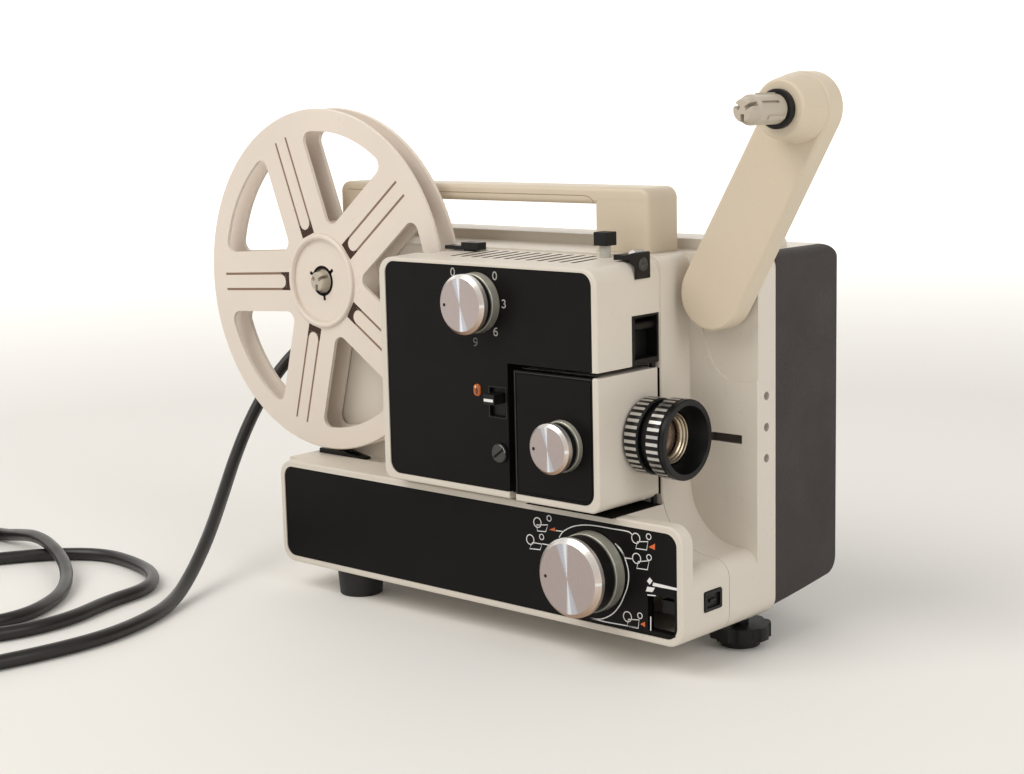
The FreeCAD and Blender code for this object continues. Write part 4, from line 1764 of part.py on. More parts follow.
def cord_plug():
    """Flat round-backed mains plug with two pins, lying on its side."""
    _, end, heading = coil_path()
    profile = [(0, 0, 0), (5.0, 0, 0.5), (6.0, 12, 2.0), (PLUG_WIDTH / 2, 20, 3.0),
               (PLUG_WIDTH / 2, PLUG_LENGTH, 1.0), (0, PLUG_LENGTH, 0)]
    body = turned(profile, (0, 0, 0), (0, 0, 1))
    for side in (-1, 1):
        body = body.fuse(rod(PIN_RADIUS, (side * PIN_SPACING / 2, 0, PLUG_LENGTH - 1), (0, 0, 1),
                             PIN_LENGTH + 1))
    half_height = end.z - PLUG_LIFT
    body = body.common(block(-PLUG_LENGTH, PLUG_LENGTH, -half_height, half_height, -1, PLUG_LENGTH * 2))
    body.Placement = FreeCAD.Placement(end, FreeCAD.Rotation(V(0, 0, 1), heading))
    return body


PIECES = {
    "base_shell": base_shell,
    "base_front_panel": base_front_panel,
    "main_body": main_body,
    "rear_cover": rear_cover,
    "rear_cover_screws": cover_screws,
    "top_deck": top_deck,
    "head_shell": head_shell,
    "head_front_panel": head_front_panel,
    "side_window": side_window,
    "pilot_light": pilot_light,
    "film_type_switch": film_type_switch,
    "lock_screw": lock_screw,
    "loop_lever": top_lever,
    "framing_knob": framing_knob,
    "film_inlet_guide": inlet_guide,
    "film_inlet_roller": inlet_roller,
    "film_exit_guide": exit_guide,
    "speed_knob": lambda: knob_body(SPEED_KNOB, SPEED_X, HEAD_SEAT, SPEED_Z, SPEED_SHAFT),
    "speed_knob_cap": lambda: knob_cap(SPEED_KNOB, SPEED_X, HEAD_SEAT, SPEED_Z),
    "speed_control": speed_control,
    "selector_knob": lambda: knob_body(SELECTOR_KNOB, SELECTOR_X, PANEL_INSET, SELECTOR_Z, SELECTOR_SHAFT),
    "selector_knob_cap": lambda: knob_cap(SELECTOR_KNOB, SELECTOR_X, PANEL_INSET, SELECTOR_Z),
    "selector_switch": selector_switch,
    "focus_knob": focus_knob_body,
    "focus_knob_cap": lambda: knob_cap(FOCUS_KNOB, FOCUS_X, HEAD_SEAT, FOCUS_Z),
    "lens_door": lens_door,
    "lens_door_panel": lens_door_panel,
    "door_hinge_pins": door_hinge_pins,
    "lens_barrel": lens_barrel,
    "zoom_ring": zoom_ring,
    "lens_glass": lens_glass,
    "film_gate": film_gate,
    "pressure_plate": pressure_plate,
    "lamp": lamp,
    "lamp_holder": lamp_holder,
    "shutter_shaft": main_shaft,
    "drive_brackets": drive_brackets,
    "motor": motor,
    "cooling_fan": motor_shaft,
    "drive_belt": drive_belt,
    "transformer": transformer,
    "reel_front_flange": reel_front_flange,
    "reel_hub": reel_hub,
    "takeup_spindle": takeup_spindle,
    "supply_arm": supply_arm,
    "arm_back_plate": arm_back_plate,
    "arm_pivot_tube": arm_pivot_tube,
    "arm_drive": arm_drive,
    "arm_belt": arm_belt,
    "supply_spindle": supply_spindle,
    "spindle_ring": spindle_ring,
    "carrying_handle": carrying_handle,
    "trimmer_button": trimmer_button,
    "fixed_feet": fixed_feet,
    "foot_pad": foot_pad,
    "foot_wheel": foot_wheel,
    "strain_relief": strain_relief,
    "mains_cord": mains_cord,
    "cord_coil": cord_coil,
    "mains_plug": cord_plug,
}

os.makedirs("parts", exist_ok=True)
for name, make in PIECES.items():
    shape = make()
    shape.translate(-ORIGIN)
    shape.exportStep("parts/" + name + ".step")
    print(name, len(shape.Solids), round(shape.Volume), shape.isValid())
print("origin", ORIGIN, "pieces", len(PIECES))
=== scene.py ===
import math

import bmesh
import bpy
from mathutils import Euler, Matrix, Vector


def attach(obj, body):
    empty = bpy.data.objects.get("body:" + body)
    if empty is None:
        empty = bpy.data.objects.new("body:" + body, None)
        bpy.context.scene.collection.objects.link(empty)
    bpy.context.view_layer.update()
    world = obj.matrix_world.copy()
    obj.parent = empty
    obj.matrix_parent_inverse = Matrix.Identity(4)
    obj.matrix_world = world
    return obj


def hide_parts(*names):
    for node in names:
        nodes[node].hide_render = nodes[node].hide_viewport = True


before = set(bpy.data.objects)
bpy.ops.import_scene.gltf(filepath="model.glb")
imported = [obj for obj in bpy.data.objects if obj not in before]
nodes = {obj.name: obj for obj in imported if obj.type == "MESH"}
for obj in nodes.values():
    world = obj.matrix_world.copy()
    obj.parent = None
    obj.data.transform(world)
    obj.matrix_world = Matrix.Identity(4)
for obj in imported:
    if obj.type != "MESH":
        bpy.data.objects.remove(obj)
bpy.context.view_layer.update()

# Places are drawn in millimetres from the lower right front corner of the base module
ORIGIN = (-146.2148, 50.3, 0.0)
MILLIMETRE = 0.001

# Camera, solved from straight edges and circles of the photograph; its place is a drawn one
CAMERA_PLACE = (471.35, -625.05, 257.50)
CAMERA_TURN = (80.874, 1.275, 42.110)
FOCAL_LENGTH = 65.04
SENSOR_WIDTH = 36.0


def at(x, y, z):
    """A drawn place in the frame of the part, in metres."""
    return Vector(((x - ORIGIN[0]) * MILLIMETRE, (y - ORIGIN[1]) * MILLIMETRE, (z - ORIGIN[2]) * MILLIMETRE))


def add_object(name, data):
    piece = bpy.data.objects.new(name, data)
    bpy.context.scene.collection.objects.link(piece)
    return piece


def make_camera():
    data = bpy.data.cameras.new("camera")
    data.lens = FOCAL_LENGTH
    data.sensor_width = SENSOR_WIDTH
    data.clip_start = 0.05
    camera = add_object("camera", data)
    camera.location = at(*CAMERA_PLACE)
    camera.rotation_euler = Euler([math.radians(a) for a in CAMERA_TURN], "XYZ")
    bpy.context.scene.camera = camera


make_camera()

# Mains lead: the same places as in the part's source
CORD_RADIUS = 3.5
ON_TABLE = 3.6
CORD_EXIT = (-264.6, 100.0, 128.0)
RELIEF_LENGTH = 24.0
CORD_ROUTE = (
    (-308.0, 100.0, 128.0),
    (-326.0, 93.0, 123.0),
    (-339.0, 82.0, 112.5),
    (-344.5, 67.0, 97.0),
    (-342.5, 47.5, 77.5),
    (-334.5, 27.0, 57.0),
    (-321.5, 6.0, 39.0),
    (-305.5, -17.0, 24.0),
    (-289.5, -41.5, 11.5),
    (-273.0, -67.0, ON_TABLE),
    (-257.5, -97.0, ON_TABLE),
    (-250.0, -127.0, ON_TABLE),
    (-251.5, -158.0, ON_TABLE),
    (-257.5, -188.0, ON_TABLE),
    (-258.4, -216.0, ON_TABLE),
    (-259.2, -243.5, ON_TABLE),
    (-274.8, -265.0, ON_TABLE),
    (-299.0, -273.0, ON_TABLE),
    (-323.7, -265.0, ON_TABLE),
    (-338.7, -244.0, ON_TABLE),
    (-338.4, -217.0, ON_TABLE),
    (-321.4, -193.7, ON_TABLE),
    (-302.1, -170.7, ON_TABLE),
    (-291.0, -145.0, ON_TABLE),
    (-290.5, -116.0, ON_TABLE),
    (-301.5, -87.5, ON_TABLE),
    (-305.5, -58.0, ON_TABLE),
    (-327.0, -38.0, ON_TABLE),
    (-357.0, -29.5, ON_TABLE),
    (-387.0, -28.5, ON_TABLE),
    (-411.0, -46.5, ON_TABLE),
    (-427.0, -72.0, ON_TABLE),
    (-438.0, -100.0, ON_TABLE),
    (-438.5, -130.0, ON_TABLE),
    (-426.0, -160.0, ON_TABLE),
    (-403.0, -181.0, ON_TABLE),
    (-373.0, -188.0, ON_TABLE),
    (-343.0, -182.0, ON_TABLE),
    (-320.0, -161.0, ON_TABLE),
    (-312.0, -131.0, ON_TABLE),
    (-325.5, -103.0, ON_TABLE),
    (-345.0, -82.0, 4.0),
    (-368.0, -66.0, 7.8),
    (-397.0, -54.5, 11.7),
    (-426.0, -46.0, 11.7),
    (-451.0, -41.0, 7.8),
    (-474.0, -37.5, ON_TABLE),
    (-497.0, -37.5, ON_TABLE),
)
COIL_TURNS = 3.25
COIL_MIDDLE_RADIUS = 38.5
COIL_PITCH = 7.8
COIL_LAYER_STEP = 7.6
COIL_TAIL = 28.0
COIL_STEPS = 14         # control points in one turn


def coil_place(turn):
    """Radius and rise of the coil after this many turns, going in below and out again above."""
    flat = (COIL_TURNS - 0.5) / 2
    outer = COIL_MIDDLE_RADIUS + COIL_PITCH * flat / 2
    if turn <= flat:
        return outer - COIL_PITCH * turn, 0.0
    if turn >= flat + 0.5:
        return outer - COIL_PITCH * (COIL_TURNS - turn), COIL_LAYER_STEP
    share = (turn - flat) / 0.5
    radius = outer - COIL_PITCH * (flat + 0.5 * share * (1 - share))
    return radius, COIL_LAYER_STEP * share * share * (3 - 2 * share)


def coil_point(turn):
    radius, rise = coil_place(turn)
    first = coil_place(0)[0]
    centre = Vector(CORD_ROUTE[-1]) + Vector((-2 * CORD_RADIUS, -first, 0))
    angle = math.pi / 2 + 2 * math.pi * turn
    return centre + Vector((radius * math.cos(angle), radius * math.sin(angle), rise))


def coil_points():
    count = round(COIL_TURNS * COIL_STEPS)
    points = [coil_point(COIL_TURNS * i / count) for i in range(count + 1)]
    heading = (points[-1] - points[-2]).normalized()
    return points + [points[-1] + heading * COIL_TAIL]


def nurbs_curve(name, points, radius):
    data = bpy.data.curves.new(name, "CURVE")
    data.dimensions = "3D"
    spline = data.splines.new("NURBS")
    spline.points.add(len(points) - 1)
    for control, point in zip(spline.points, points):
        control.co = (*at(*point), 1.0)
        control.radius = radius * MILLIMETRE
    spline.order_u = 3
    spline.use_endpoint_u = True
    spline.resolution_u = 10
    data.resolution_u = 10
    data.bevel_depth = 1.0          # times each point's radius
    data.bevel_resolution = 6
    data.use_fill_caps = True
    return add_object(name, data)


def spline_length(curve):
    """Length of the curve's own line, read from its NURBS spline."""
    bare = curve.copy()
    bare.data = curve.data.copy()
    bare.data.bevel_depth = 0
    bpy.context.scene.collection.objects.link(bare)
    mesh = bpy.data.meshes.new_from_object(bare.evaluated_get(bpy.context.evaluated_depsgraph_get()))
    points = [v.co.copy() for v in mesh.vertices]
    bpy.data.objects.remove(bare)
    return sum((b - a).length for a, b in zip(points, points[1:]))


def make_cord():
    start = (CORD_EXIT[0] - RELIEF_LENGTH, CORD_EXIT[1], CORD_EXIT[2])
    points = [start, *CORD_ROUTE, *coil_points()]
    cord = nurbs_curve("lead", points, CORD_RADIUS)
    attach(cord, "body")
    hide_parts("mains_cord", "cord_coil")
    length = spline_length(cord)
    print("lead length", round(length, 4))
    return cord


cord = make_cord()


# Node materials

NOISE_BAND = (0.3, 0.7)     # where most values of a noise lie
LEVEL_NORMAL = 0.7          # upward part of its normal from which a face counts as level


def linear(red, green, blue):
    """A colour as a screen shows it, 0 to 255, in the shader's linear values."""
    def one(value):
        share = value / 255
        return share / 12.92 if share <= 0.04045 else ((share + 0.055) / 1.055) ** 2.4
    return (one(red), one(green), one(blue), 1.0)


def add_node(tree, kind, values=None, **settings):
    """A shader node with its properties and the values of its unlinked sockets."""
    node = tree.nodes.new(kind)
    for key, value in settings.items():
        setattr(node, key, value)
    for key, value in (values or {}).items():
        node.inputs[key].default_value = value
    return node


def join(tree, source, target):
    tree.links.new(source, target)


def new_material(name):
    material = bpy.data.materials.new(name)
    material.use_nodes = True
    tree = material.node_tree
    return material, tree, tree.nodes["Principled BSDF"]


def object_place(tree):
    return add_node(tree, "ShaderNodeTexCoord").outputs["Object"]


def noise(tree, place, scale, detail=3.0, rough=0.5):
    node = add_node(tree, "ShaderNodeTexNoise", {"Scale": scale, "Detail": detail, "Roughness": rough})
    join(tree, place, node.inputs["Vector"])
    return node.outputs["Fac"]


def spread(tree, source, low, high, to_low, to_high):
    """Maps low to high of a value on to_low to to_high, held at the ends."""
    node = add_node(tree, "ShaderNodeMapRange",
                    {"From Min": low, "From Max": high, "To Min": to_low, "To Max": to_high})
    join(tree, source, node.inputs["Value"])
    return node.outputs["Result"]


def mixed(tree, share, first, second):
    """Colour between two, each a colour or a socket, by a share socket."""
    node = add_node(tree, "ShaderNodeMix", data_type="RGBA")
    join(tree, share, node.inputs[0])
    for socket, value in ((node.inputs[6], first), (node.inputs[7], second)):
        if isinstance(value, bpy.types.NodeSocket):
            join(tree, value, socket)
        else:
            socket.default_value = value
    return node.outputs[2]


def combine(tree, operation, first, second):
    """A math node on two values, each a number or a socket."""
    node = add_node(tree, "ShaderNodeMath", operation=operation)
    for socket, value in ((node.inputs[0], first), (node.inputs[1], second)):
        if isinstance(value, bpy.types.NodeSocket):
            join(tree, value, socket)
        else:
            socket.default_value = value
    return node.outputs[0]


def bump(tree, shader, height, strength, distance):
    node = add_node(tree, "ShaderNodeBump", {"Strength": strength, "Distance": distance})
    join(tree, height, node.inputs["Height"])
    join(tree, node.outputs["Normal"], shader.inputs["Normal"])


def split_place(tree, place):
    node = add_node(tree, "ShaderNodeSeparateXYZ")
    join(tree, place, node.inputs[0])
    return node.outputs


def inside_box(tree, place, low, high):
    """1 for places between two corners, else 0."""
    split = split_place(tree, place)
    share = None
    for k, axis in enumerate("XYZ"):
        for operation, bound in (("GREATER_THAN", low[k]), ("LESS_THAN", high[k])):
            test = combine(tree, operation, split[axis], bound)
            share = combine(tree, "MULTIPLY", share, test) if share else test
    return share


def distance_from(tree, place, centre, axis):
    """Distance from a line through centre along the x, y or z axis."""
    moved = add_node(tree, "ShaderNodeVectorMath", operation="SUBTRACT")
    join(tree, place, moved.inputs[0])
    moved.inputs[1].default_value = centre
    flat = add_node(tree, "ShaderNodeVectorMath", operation="MULTIPLY")
    join(tree, moved.outputs[0], flat.inputs[0])
    flat.inputs[1].default_value = [0.0 if name == axis else 1.0 for name in "xyz"]
    length = add_node(tree, "ShaderNodeVectorMath", operation="LENGTH")
    join(tree, flat.outputs[0], length.inputs[0])
    return length.outputs["Value"]


def fine_rings(tree, distance, scale):
    """Noise that changes only with the distance from the axis."""
    node = add_node(tree, "ShaderNodeTexNoise", {"Scale": scale, "Detail": 2.0}, noise_dimensions="1D")
    join(tree, distance, node.inputs["W"])
    return node.outputs["Fac"]


def wedge_share(tree, place, centre, distance, angle, full, none):
    """How far a place lies within two opposite wedges about centre: 1 inside full, 0 beyond none."""
    split = split_place(tree, place)
    across = math.radians(angle + 90)
    right = combine(tree, "MULTIPLY", combine(tree, "SUBTRACT", split["X"], centre[0]), math.cos(across))
    up = combine(tree, "MULTIPLY", combine(tree, "SUBTRACT", split["Z"], centre[2]), math.sin(across))
    side = combine(tree, "ABSOLUTE", combine(tree, "ADD", right, up), 0.0)
    return spread(tree, combine(tree, "DIVIDE", side, distance), full, none, 1.0, 0.0)


def tinted(colour, factor):
    return (colour[0] * factor, colour[1] * factor, colour[2] * factor, 1.0)


def moulded_plastic(name, colour, roughness, grain=1500, grain_strength=0.12, variation=0.05, specks=0.0,
                    shine=0.5, zones=(), wall_shade=None):
    """Moulded plastic: cloudy tone, fine grain and a few specks, dark ones or, below zero, pale ones.

    Each zone is two corners and the colour between them. Wall shade is two corners and a colour of painted
    shade that only the upright faces between them take.
    """
    material, tree, shader = new_material(name)
    place = object_place(tree)
    clouds = noise(tree, place, scale=22, detail=4)
    base = mixed(tree, clouds, tinted(colour, 1 - variation), tinted(colour, 1 + variation))
    if specks:
        dots = spread(tree, noise(tree, place, scale=700, detail=2, rough=0.6), 0.68, 0.74, 0.0, abs(specks))
        target = tinted(colour, 0.35) if specks > 0 else linear(120, 112, 104)
        base = mixed(tree, dots, base, target)
    for low, high, other in zones:
        base = mixed(tree, inside_box(tree, place, low, high), base, other)
    # Painted shade on the upright faces within a box
    if wall_shade:
        low, high, other = wall_shade
        normal = add_node(tree, "ShaderNodeTexCoord").outputs["Normal"]
        upright = combine(tree, "LESS_THAN", split_place(tree, normal)["Z"], LEVEL_NORMAL)
        share = combine(tree, "MULTIPLY", inside_box(tree, place, low, high), upright)
        base = mixed(tree, share, base, other)
    join(tree, base, shader.inputs["Base Color"])
    shader.inputs["Specular IOR Level"].default_value = shine
    wear = noise(tree, place, scale=60, detail=5)
    rough = spread(tree, wear, *NOISE_BAND, roughness - 0.05, roughness + 0.07)
    join(tree, rough, shader.inputs["Roughness"])
    bump(tree, shader, noise(tree, place, scale=grain, detail=3), grain_strength, 0.0002)
    return material


# The two wedges of the bow tie, a painted highlight where the turned face reflects the lights: angle, full
# and fading half width, strength and colour
BOW_TIE_HIGHLIGHT = ((100, 0.15, 0.25, 0.55, linear(208, 218, 236)), (94, 0.02, 0.11, 0.85, linear(246, 250, 255)))
# Bevel of a metal cap: painted shade below its middle and a painted highlight above it
BEVEL_SHADE_BELOW = linear(172, 138, 112)
BEVEL_HIGHLIGHT_ABOVE = linear(252, 250, 246)


def turned_metal(name, knob, colour, roughness=0.3, ring_scale=5200):
    """Lathe-turned metal: fine rings, a painted bow-tie highlight over the face, and a painted highlight
    above and painted shade below on the bevel.
    """
    material, tree, shader = new_material(name)
    place = object_place(tree)
    centre = at(knob["x"], 0, knob["z"])
    distance = distance_from(tree, place, centre, "y")
    rings = fine_rings(tree, distance, ring_scale)
    base = mixed(tree, rings, tinted(colour, 0.88), tinted(colour, 1.08))
    # Painted highlight: the bow tie that the lights draw on the turned face
    for angle, full, none, strength, light in BOW_TIE_HIGHLIGHT:
        wedge = wedge_share(tree, place, centre, distance, angle, full, none)
        base = mixed(tree, combine(tree, "MULTIPLY", wedge, strength), base, light)
    reach = knob["radius"] * MILLIMETRE
    # The bevel ring takes painted shade low down and a painted highlight high up
    rim = mixed(tree, knob_height(tree, place, knob), BEVEL_SHADE_BELOW, BEVEL_HIGHLIGHT_ABOVE)
    base = mixed(tree, combine(tree, "GREATER_THAN", distance, reach * (1 - CAP_BEVEL)), base, rim)
    join(tree, base, shader.inputs["Base Color"])
    join(tree, spread(tree, rings, 0.2, 0.8, roughness - 0.05, roughness + 0.08), shader.inputs["Roughness"])
    shader.inputs["Metallic"].default_value = 0.85
    bump(tree, shader, rings, 0.05, 0.0001)
    return material


def plain_metal(name, colour, roughness=0.3, variation=0.08):
    """Bare metal with a cloudy tone and faint wear."""
    material, tree, shader = new_material(name)
    place = object_place(tree)
    cloud = noise(tree, place, scale=90, detail=4)
    join(tree, mixed(tree, cloud, tinted(colour, 1 - variation), tinted(colour, 1 + variation)),
         shader.inputs["Base Color"])
    wear = noise(tree, place, scale=260, detail=3)
    rough = spread(tree, wear, *NOISE_BAND, roughness - 0.06, roughness + 0.1)
    join(tree, rough, shader.inputs["Roughness"])
    shader.inputs["Metallic"].default_value = 1.0
    bump(tree, shader, noise(tree, place, scale=2600, detail=2), 0.05, 0.0001)
    return material


def grained_cover(name, colour):
    """Dark moulded cover with a leather-like grain."""
    material, tree, shader = new_material(name)
    place = object_place(tree)
    cells = add_node(tree, "ShaderNodeTexVoronoi", {"Scale": 900.0}, feature="DISTANCE_TO_EDGE")
    join(tree, place, cells.inputs["Vector"])
    grain = spread(tree, cells.outputs["Distance"], 0.0, 0.25, 0.0, 1.0)
    join(tree, mixed(tree, grain, tinted(colour, 0.7), tinted(colour, 1.15)), shader.inputs["Base Color"])
    wear = noise(tree, place, scale=40, detail=4)
    join(tree, spread(tree, wear, *NOISE_BAND, 0.48, 0.6), shader.inputs["Roughness"])
    bump(tree, shader, grain, 0.35, 0.0002)
    return material


def smooth_panel(name, colour, roughness):
    """Smooth black panel with faint dust and wiping marks."""
    material, tree, shader = new_material(name)
    place = object_place(tree)
    dust = spread(tree, noise(tree, place, scale=1300, detail=2, rough=0.7), 0.72, 0.8, 0.0, 0.35)
    join(tree, mixed(tree, dust, colour, linear(96, 92, 88)), shader.inputs["Base Color"])
    wiped = noise(tree, place, scale=30, detail=6, rough=0.65)
    rough = spread(tree, wiped, *NOISE_BAND, roughness - 0.06, roughness + 0.1)
    join(tree, rough, shader.inputs["Roughness"])
    shader.inputs["Specular IOR Level"].default_value = 0.14
    bump(tree, shader, noise(tree, place, scale=420, detail=4), 0.04, 0.0001)
    return material


def two_tone_knob(name, knob, skirt_colour, ring_colour):
    """Metallic grey skirt next to the panel, with painted shade low on it and a painted highlight high on it,
    and black grip ring in front of it.
    """
    material, tree, shader = new_material(name)
    place = object_place(tree)
    front = combine(tree, "LESS_THAN", split_place(tree, place)["Y"], knob_edge(knob))
    height = knob_height(tree, place, knob)
    # Painted shade at the bottom of the skirt and a painted highlight at its top
    skirt = mixed(tree, height, tinted(skirt_colour, 0.45), tinted(skirt_colour, 1.4))
    join(tree, mixed(tree, front, skirt, ring_colour), shader.inputs["Base Color"])
    join(tree, spread(tree, front, 0.0, 1.0, 0.26, 0.42), shader.inputs["Roughness"])
    join(tree, spread(tree, front, 0.0, 1.0, 0.5, 0.0), shader.inputs["Metallic"])
    shader.inputs["Specular IOR Level"].default_value = 0.25
    bump(tree, shader, noise(tree, place, scale=1800, detail=2), 0.05, 0.0001)
    return material


def clear_glass(name, colour, roughness):
    """Clear glass with a faint smear."""
    material, tree, shader = new_material(name)
    smear = noise(tree, object_place(tree), scale=160, detail=3)
    join(tree, mixed(tree, smear, tinted(colour, 0.97), tinted(colour, 1.0)), shader.inputs["Base Color"])
    join(tree, spread(tree, smear, *NOISE_BAND, roughness, roughness + 0.02), shader.inputs["Roughness"])
    shader.inputs["Transmission Weight"].default_value = 1.0
    shader.inputs["IOR"].default_value = 1.52
    return material


def coated_glass(name, colour):
    """Front element: mostly the dim brown reflection of its coating, a little see-through."""
    material, tree, shader = new_material(name)
    smear = noise(tree, object_place(tree), scale=160, detail=3)
    join(tree, mixed(tree, smear, tinted(colour, 0.8), tinted(colour, 1.2)), shader.inputs["Base Color"])
    join(tree, spread(tree, smear, *NOISE_BAND, 0.06, 0.1), shader.inputs["Roughness"])
    shader.inputs["Metallic"].default_value = 0.35
    shader.inputs["Transmission Weight"].default_value = 0.4
    shader.inputs["IOR"].default_value = 1.6
    return material


IVORY = linear(214, 206, 194)
ARM_IVORY = linear(208, 194, 172)
REEL_WHITE = linear(224, 212, 200)
BLACK = linear(15, 14, 14)
DARK_BROWN = linear(43, 33, 30)
ALUMINIUM = linear(182, 170, 168)
STEEL = linear(176, 174, 172)
SKIRT_GREY = linear(172, 170, 158)


def knob_edge(knob):
    """Where a knob's skirt ends and its grip ring begins, in metres."""
    return at(0, knob["seat"] - knob["heights"][0] - KNOB_GAP, 0)[1]


def knob_front(knob):
    """Drawn y of the front of a knob's cap."""
    return knob["seat"] - sum(knob["heights"]) - KNOB_GAP


def knob_height(tree, place, knob):
    """0 at the bottom of a knob and 1 at its top."""
    middle, reach = at(0, 0, knob["z"])[2], knob["radius"] * MILLIMETRE
    return spread(tree, split_place(tree, place)["Z"], middle - reach, middle + reach, 0.0, 1.0)


HEAD_SEAT = -9.6
BASE_SEAT = 0.5
# Knobs: centre x and z, seat, and the heights of skirt, ring and cap, and the cap's radius
SPEED = {"x": -109.3, "z": 161.3, "seat": HEAD_SEAT, "heights": (4.6, 2.6, 4.5), "radius": 13.9}
FOCUS = {"x": -59.0, "z": 99.8, "seat": HEAD_SEAT, "heights": (2.7, 3.5, 4.4), "radius": 11.5}
SELECTOR = {"x": -50.9, "z": 41.6, "seat": BASE_SEAT, "heights": (5.7, 7.7, 4.7), "radius": 18.3}
KNOB_GAP = 0.2          # between a knob and its seat
CAP_BEVEL = 0.12        # bevel of a metal cap, as a part of its radius
# Colour of painted shade for unlit insides and gaps
UNLIT_SHADE = linear(22, 19, 18)
# Painted shade on the unlit inside of the head and on the vents' walls, and the grey stem below the framing
# knob's block
HEAD_INSIDE_SHADE = (at(-171.3, -7.5, 73.9), at(-40.5, 60.0, 176.6), UNLIT_SHADE)
VENT_WALL_SHADE = (at(-142.0, 4.0, 176.0), at(-61.0, 32.0, 183.0), linear(112, 96, 84))
FRAMING_STEM = (at(-70.0, 20.0, 160.0), at(-57.0, 36.0, 186.5), linear(186, 184, 176))

finish_of = {
    "ivory": moulded_plastic("ivory_plastic", IVORY, 0.42, specks=0.25),
    "arm": moulded_plastic("arm_plastic", ARM_IVORY, 0.4, specks=0.2),
    "reel": moulded_plastic("reel_plastic", REEL_WHITE, 0.32, grain=700, grain_strength=0.05),
    "panel": smooth_panel("black_panel", linear(13, 12, 12), 0.42),
    "cover": grained_cover("dark_cover", DARK_BROWN),
    "black": moulded_plastic("black_plastic", BLACK, 0.4, variation=0.12, specks=-0.15, shine=0.3),
    # The head takes painted shade inside it and on the walls of its vents
    "head": moulded_plastic("head_plastic", IVORY, 0.42, specks=0.25, zones=[HEAD_INSIDE_SHADE], wall_shade=VENT_WALL_SHADE),
    "framing": moulded_plastic("framing_plastic", BLACK, 0.4, shine=0.3, zones=[FRAMING_STEM]),
    "grey": moulded_plastic("grey_plastic", linear(128, 128, 122), 0.4),
    "rubber": moulded_plastic("black_rubber", linear(26, 25, 25), 0.62, grain=900, grain_strength=0.3),
    "lead": moulded_plastic("lead_rubber", linear(30, 26, 25), 0.38, grain=500, grain_strength=0.06),
    "steel": plain_metal("steel", STEEL, 0.32),
    "bright": plain_metal("bright_steel", linear(205, 203, 200), 0.16),
    "core": plain_metal("core_steel", linear(84, 84, 88), 0.5),
    "ceramic": moulded_plastic("ceramic", linear(214, 208, 192), 0.6),
    "amber": moulded_plastic("amber_lens", linear(166, 88, 34), 0.08, grain_strength=0.02, variation=0.3),
    "glass": coated_glass("lens_coating", linear(146, 124, 110)),
    "lamp": clear_glass("lamp_glass", linear(226, 228, 235), 0.1),
    "print": moulded_plastic("white_print", linear(232, 232, 230), 0.45, variation=0.04),
    "print_grey": moulded_plastic("grey_print", linear(176, 174, 170), 0.45, variation=0.04),
    "print_dim": moulded_plastic("dim_print", linear(104, 102, 100), 0.45, variation=0.04),
    "print_faint": moulded_plastic("faint_print", linear(52, 51, 50), 0.5, variation=0.04),
    "print_orange": moulded_plastic("orange_print", linear(214, 104, 48), 0.45, variation=0.06),
    "rib": plain_metal("rib_tops", linear(214, 213, 212), 0.34),
    "cell": plain_metal("cell_rings", linear(186, 172, 150), 0.3),
    "shade": moulded_plastic("gap_shade", UNLIT_SHADE, 0.7, shine=0.1),
    "boss": moulded_plastic("boss_plastic", linear(52, 52, 50), 0.3),
    # Painted shade in the slots of the reel's spokes, lighter along them and darker at their ends
    "slot": moulded_plastic("slot_shade", linear(140, 114, 96), 0.6, shine=0.2),
    "slot_end": moulded_plastic("slot_end_shade", linear(68, 48, 40), 0.6, shine=0.2),
    # Painted shade and painted highlight for the amber window
    "amber_shade": moulded_plastic("amber_core_shade", linear(96, 34, 12), 0.1),
    "glint": moulded_plastic("amber_glint", linear(240, 196, 128), 0.1),
    "groove": moulded_plastic("groove_shade", linear(150, 134, 108), 0.6),
    "spindle": moulded_plastic("spindle_plastic", linear(184, 174, 158), 0.34),
    "lens_black": moulded_plastic("black_anodised", linear(13, 13, 14), 0.3, variation=0.15, specks=-0.1,
                                  shine=0.28),
    "speed_skirt": two_tone_knob("speed_skirt", SPEED, SKIRT_GREY, BLACK),
    "focus_skirt": two_tone_knob("focus_skirt", FOCUS, SKIRT_GREY, BLACK),
    "selector_skirt": two_tone_knob("selector_skirt", SELECTOR, SKIRT_GREY, BLACK),
    "speed_cap": turned_metal("speed_cap", SPEED, ALUMINIUM),
    "focus_cap": turned_metal("focus_cap", FOCUS, ALUMINIUM),
    "selector_cap": turned_metal("selector_cap", SELECTOR, ALUMINIUM),
}

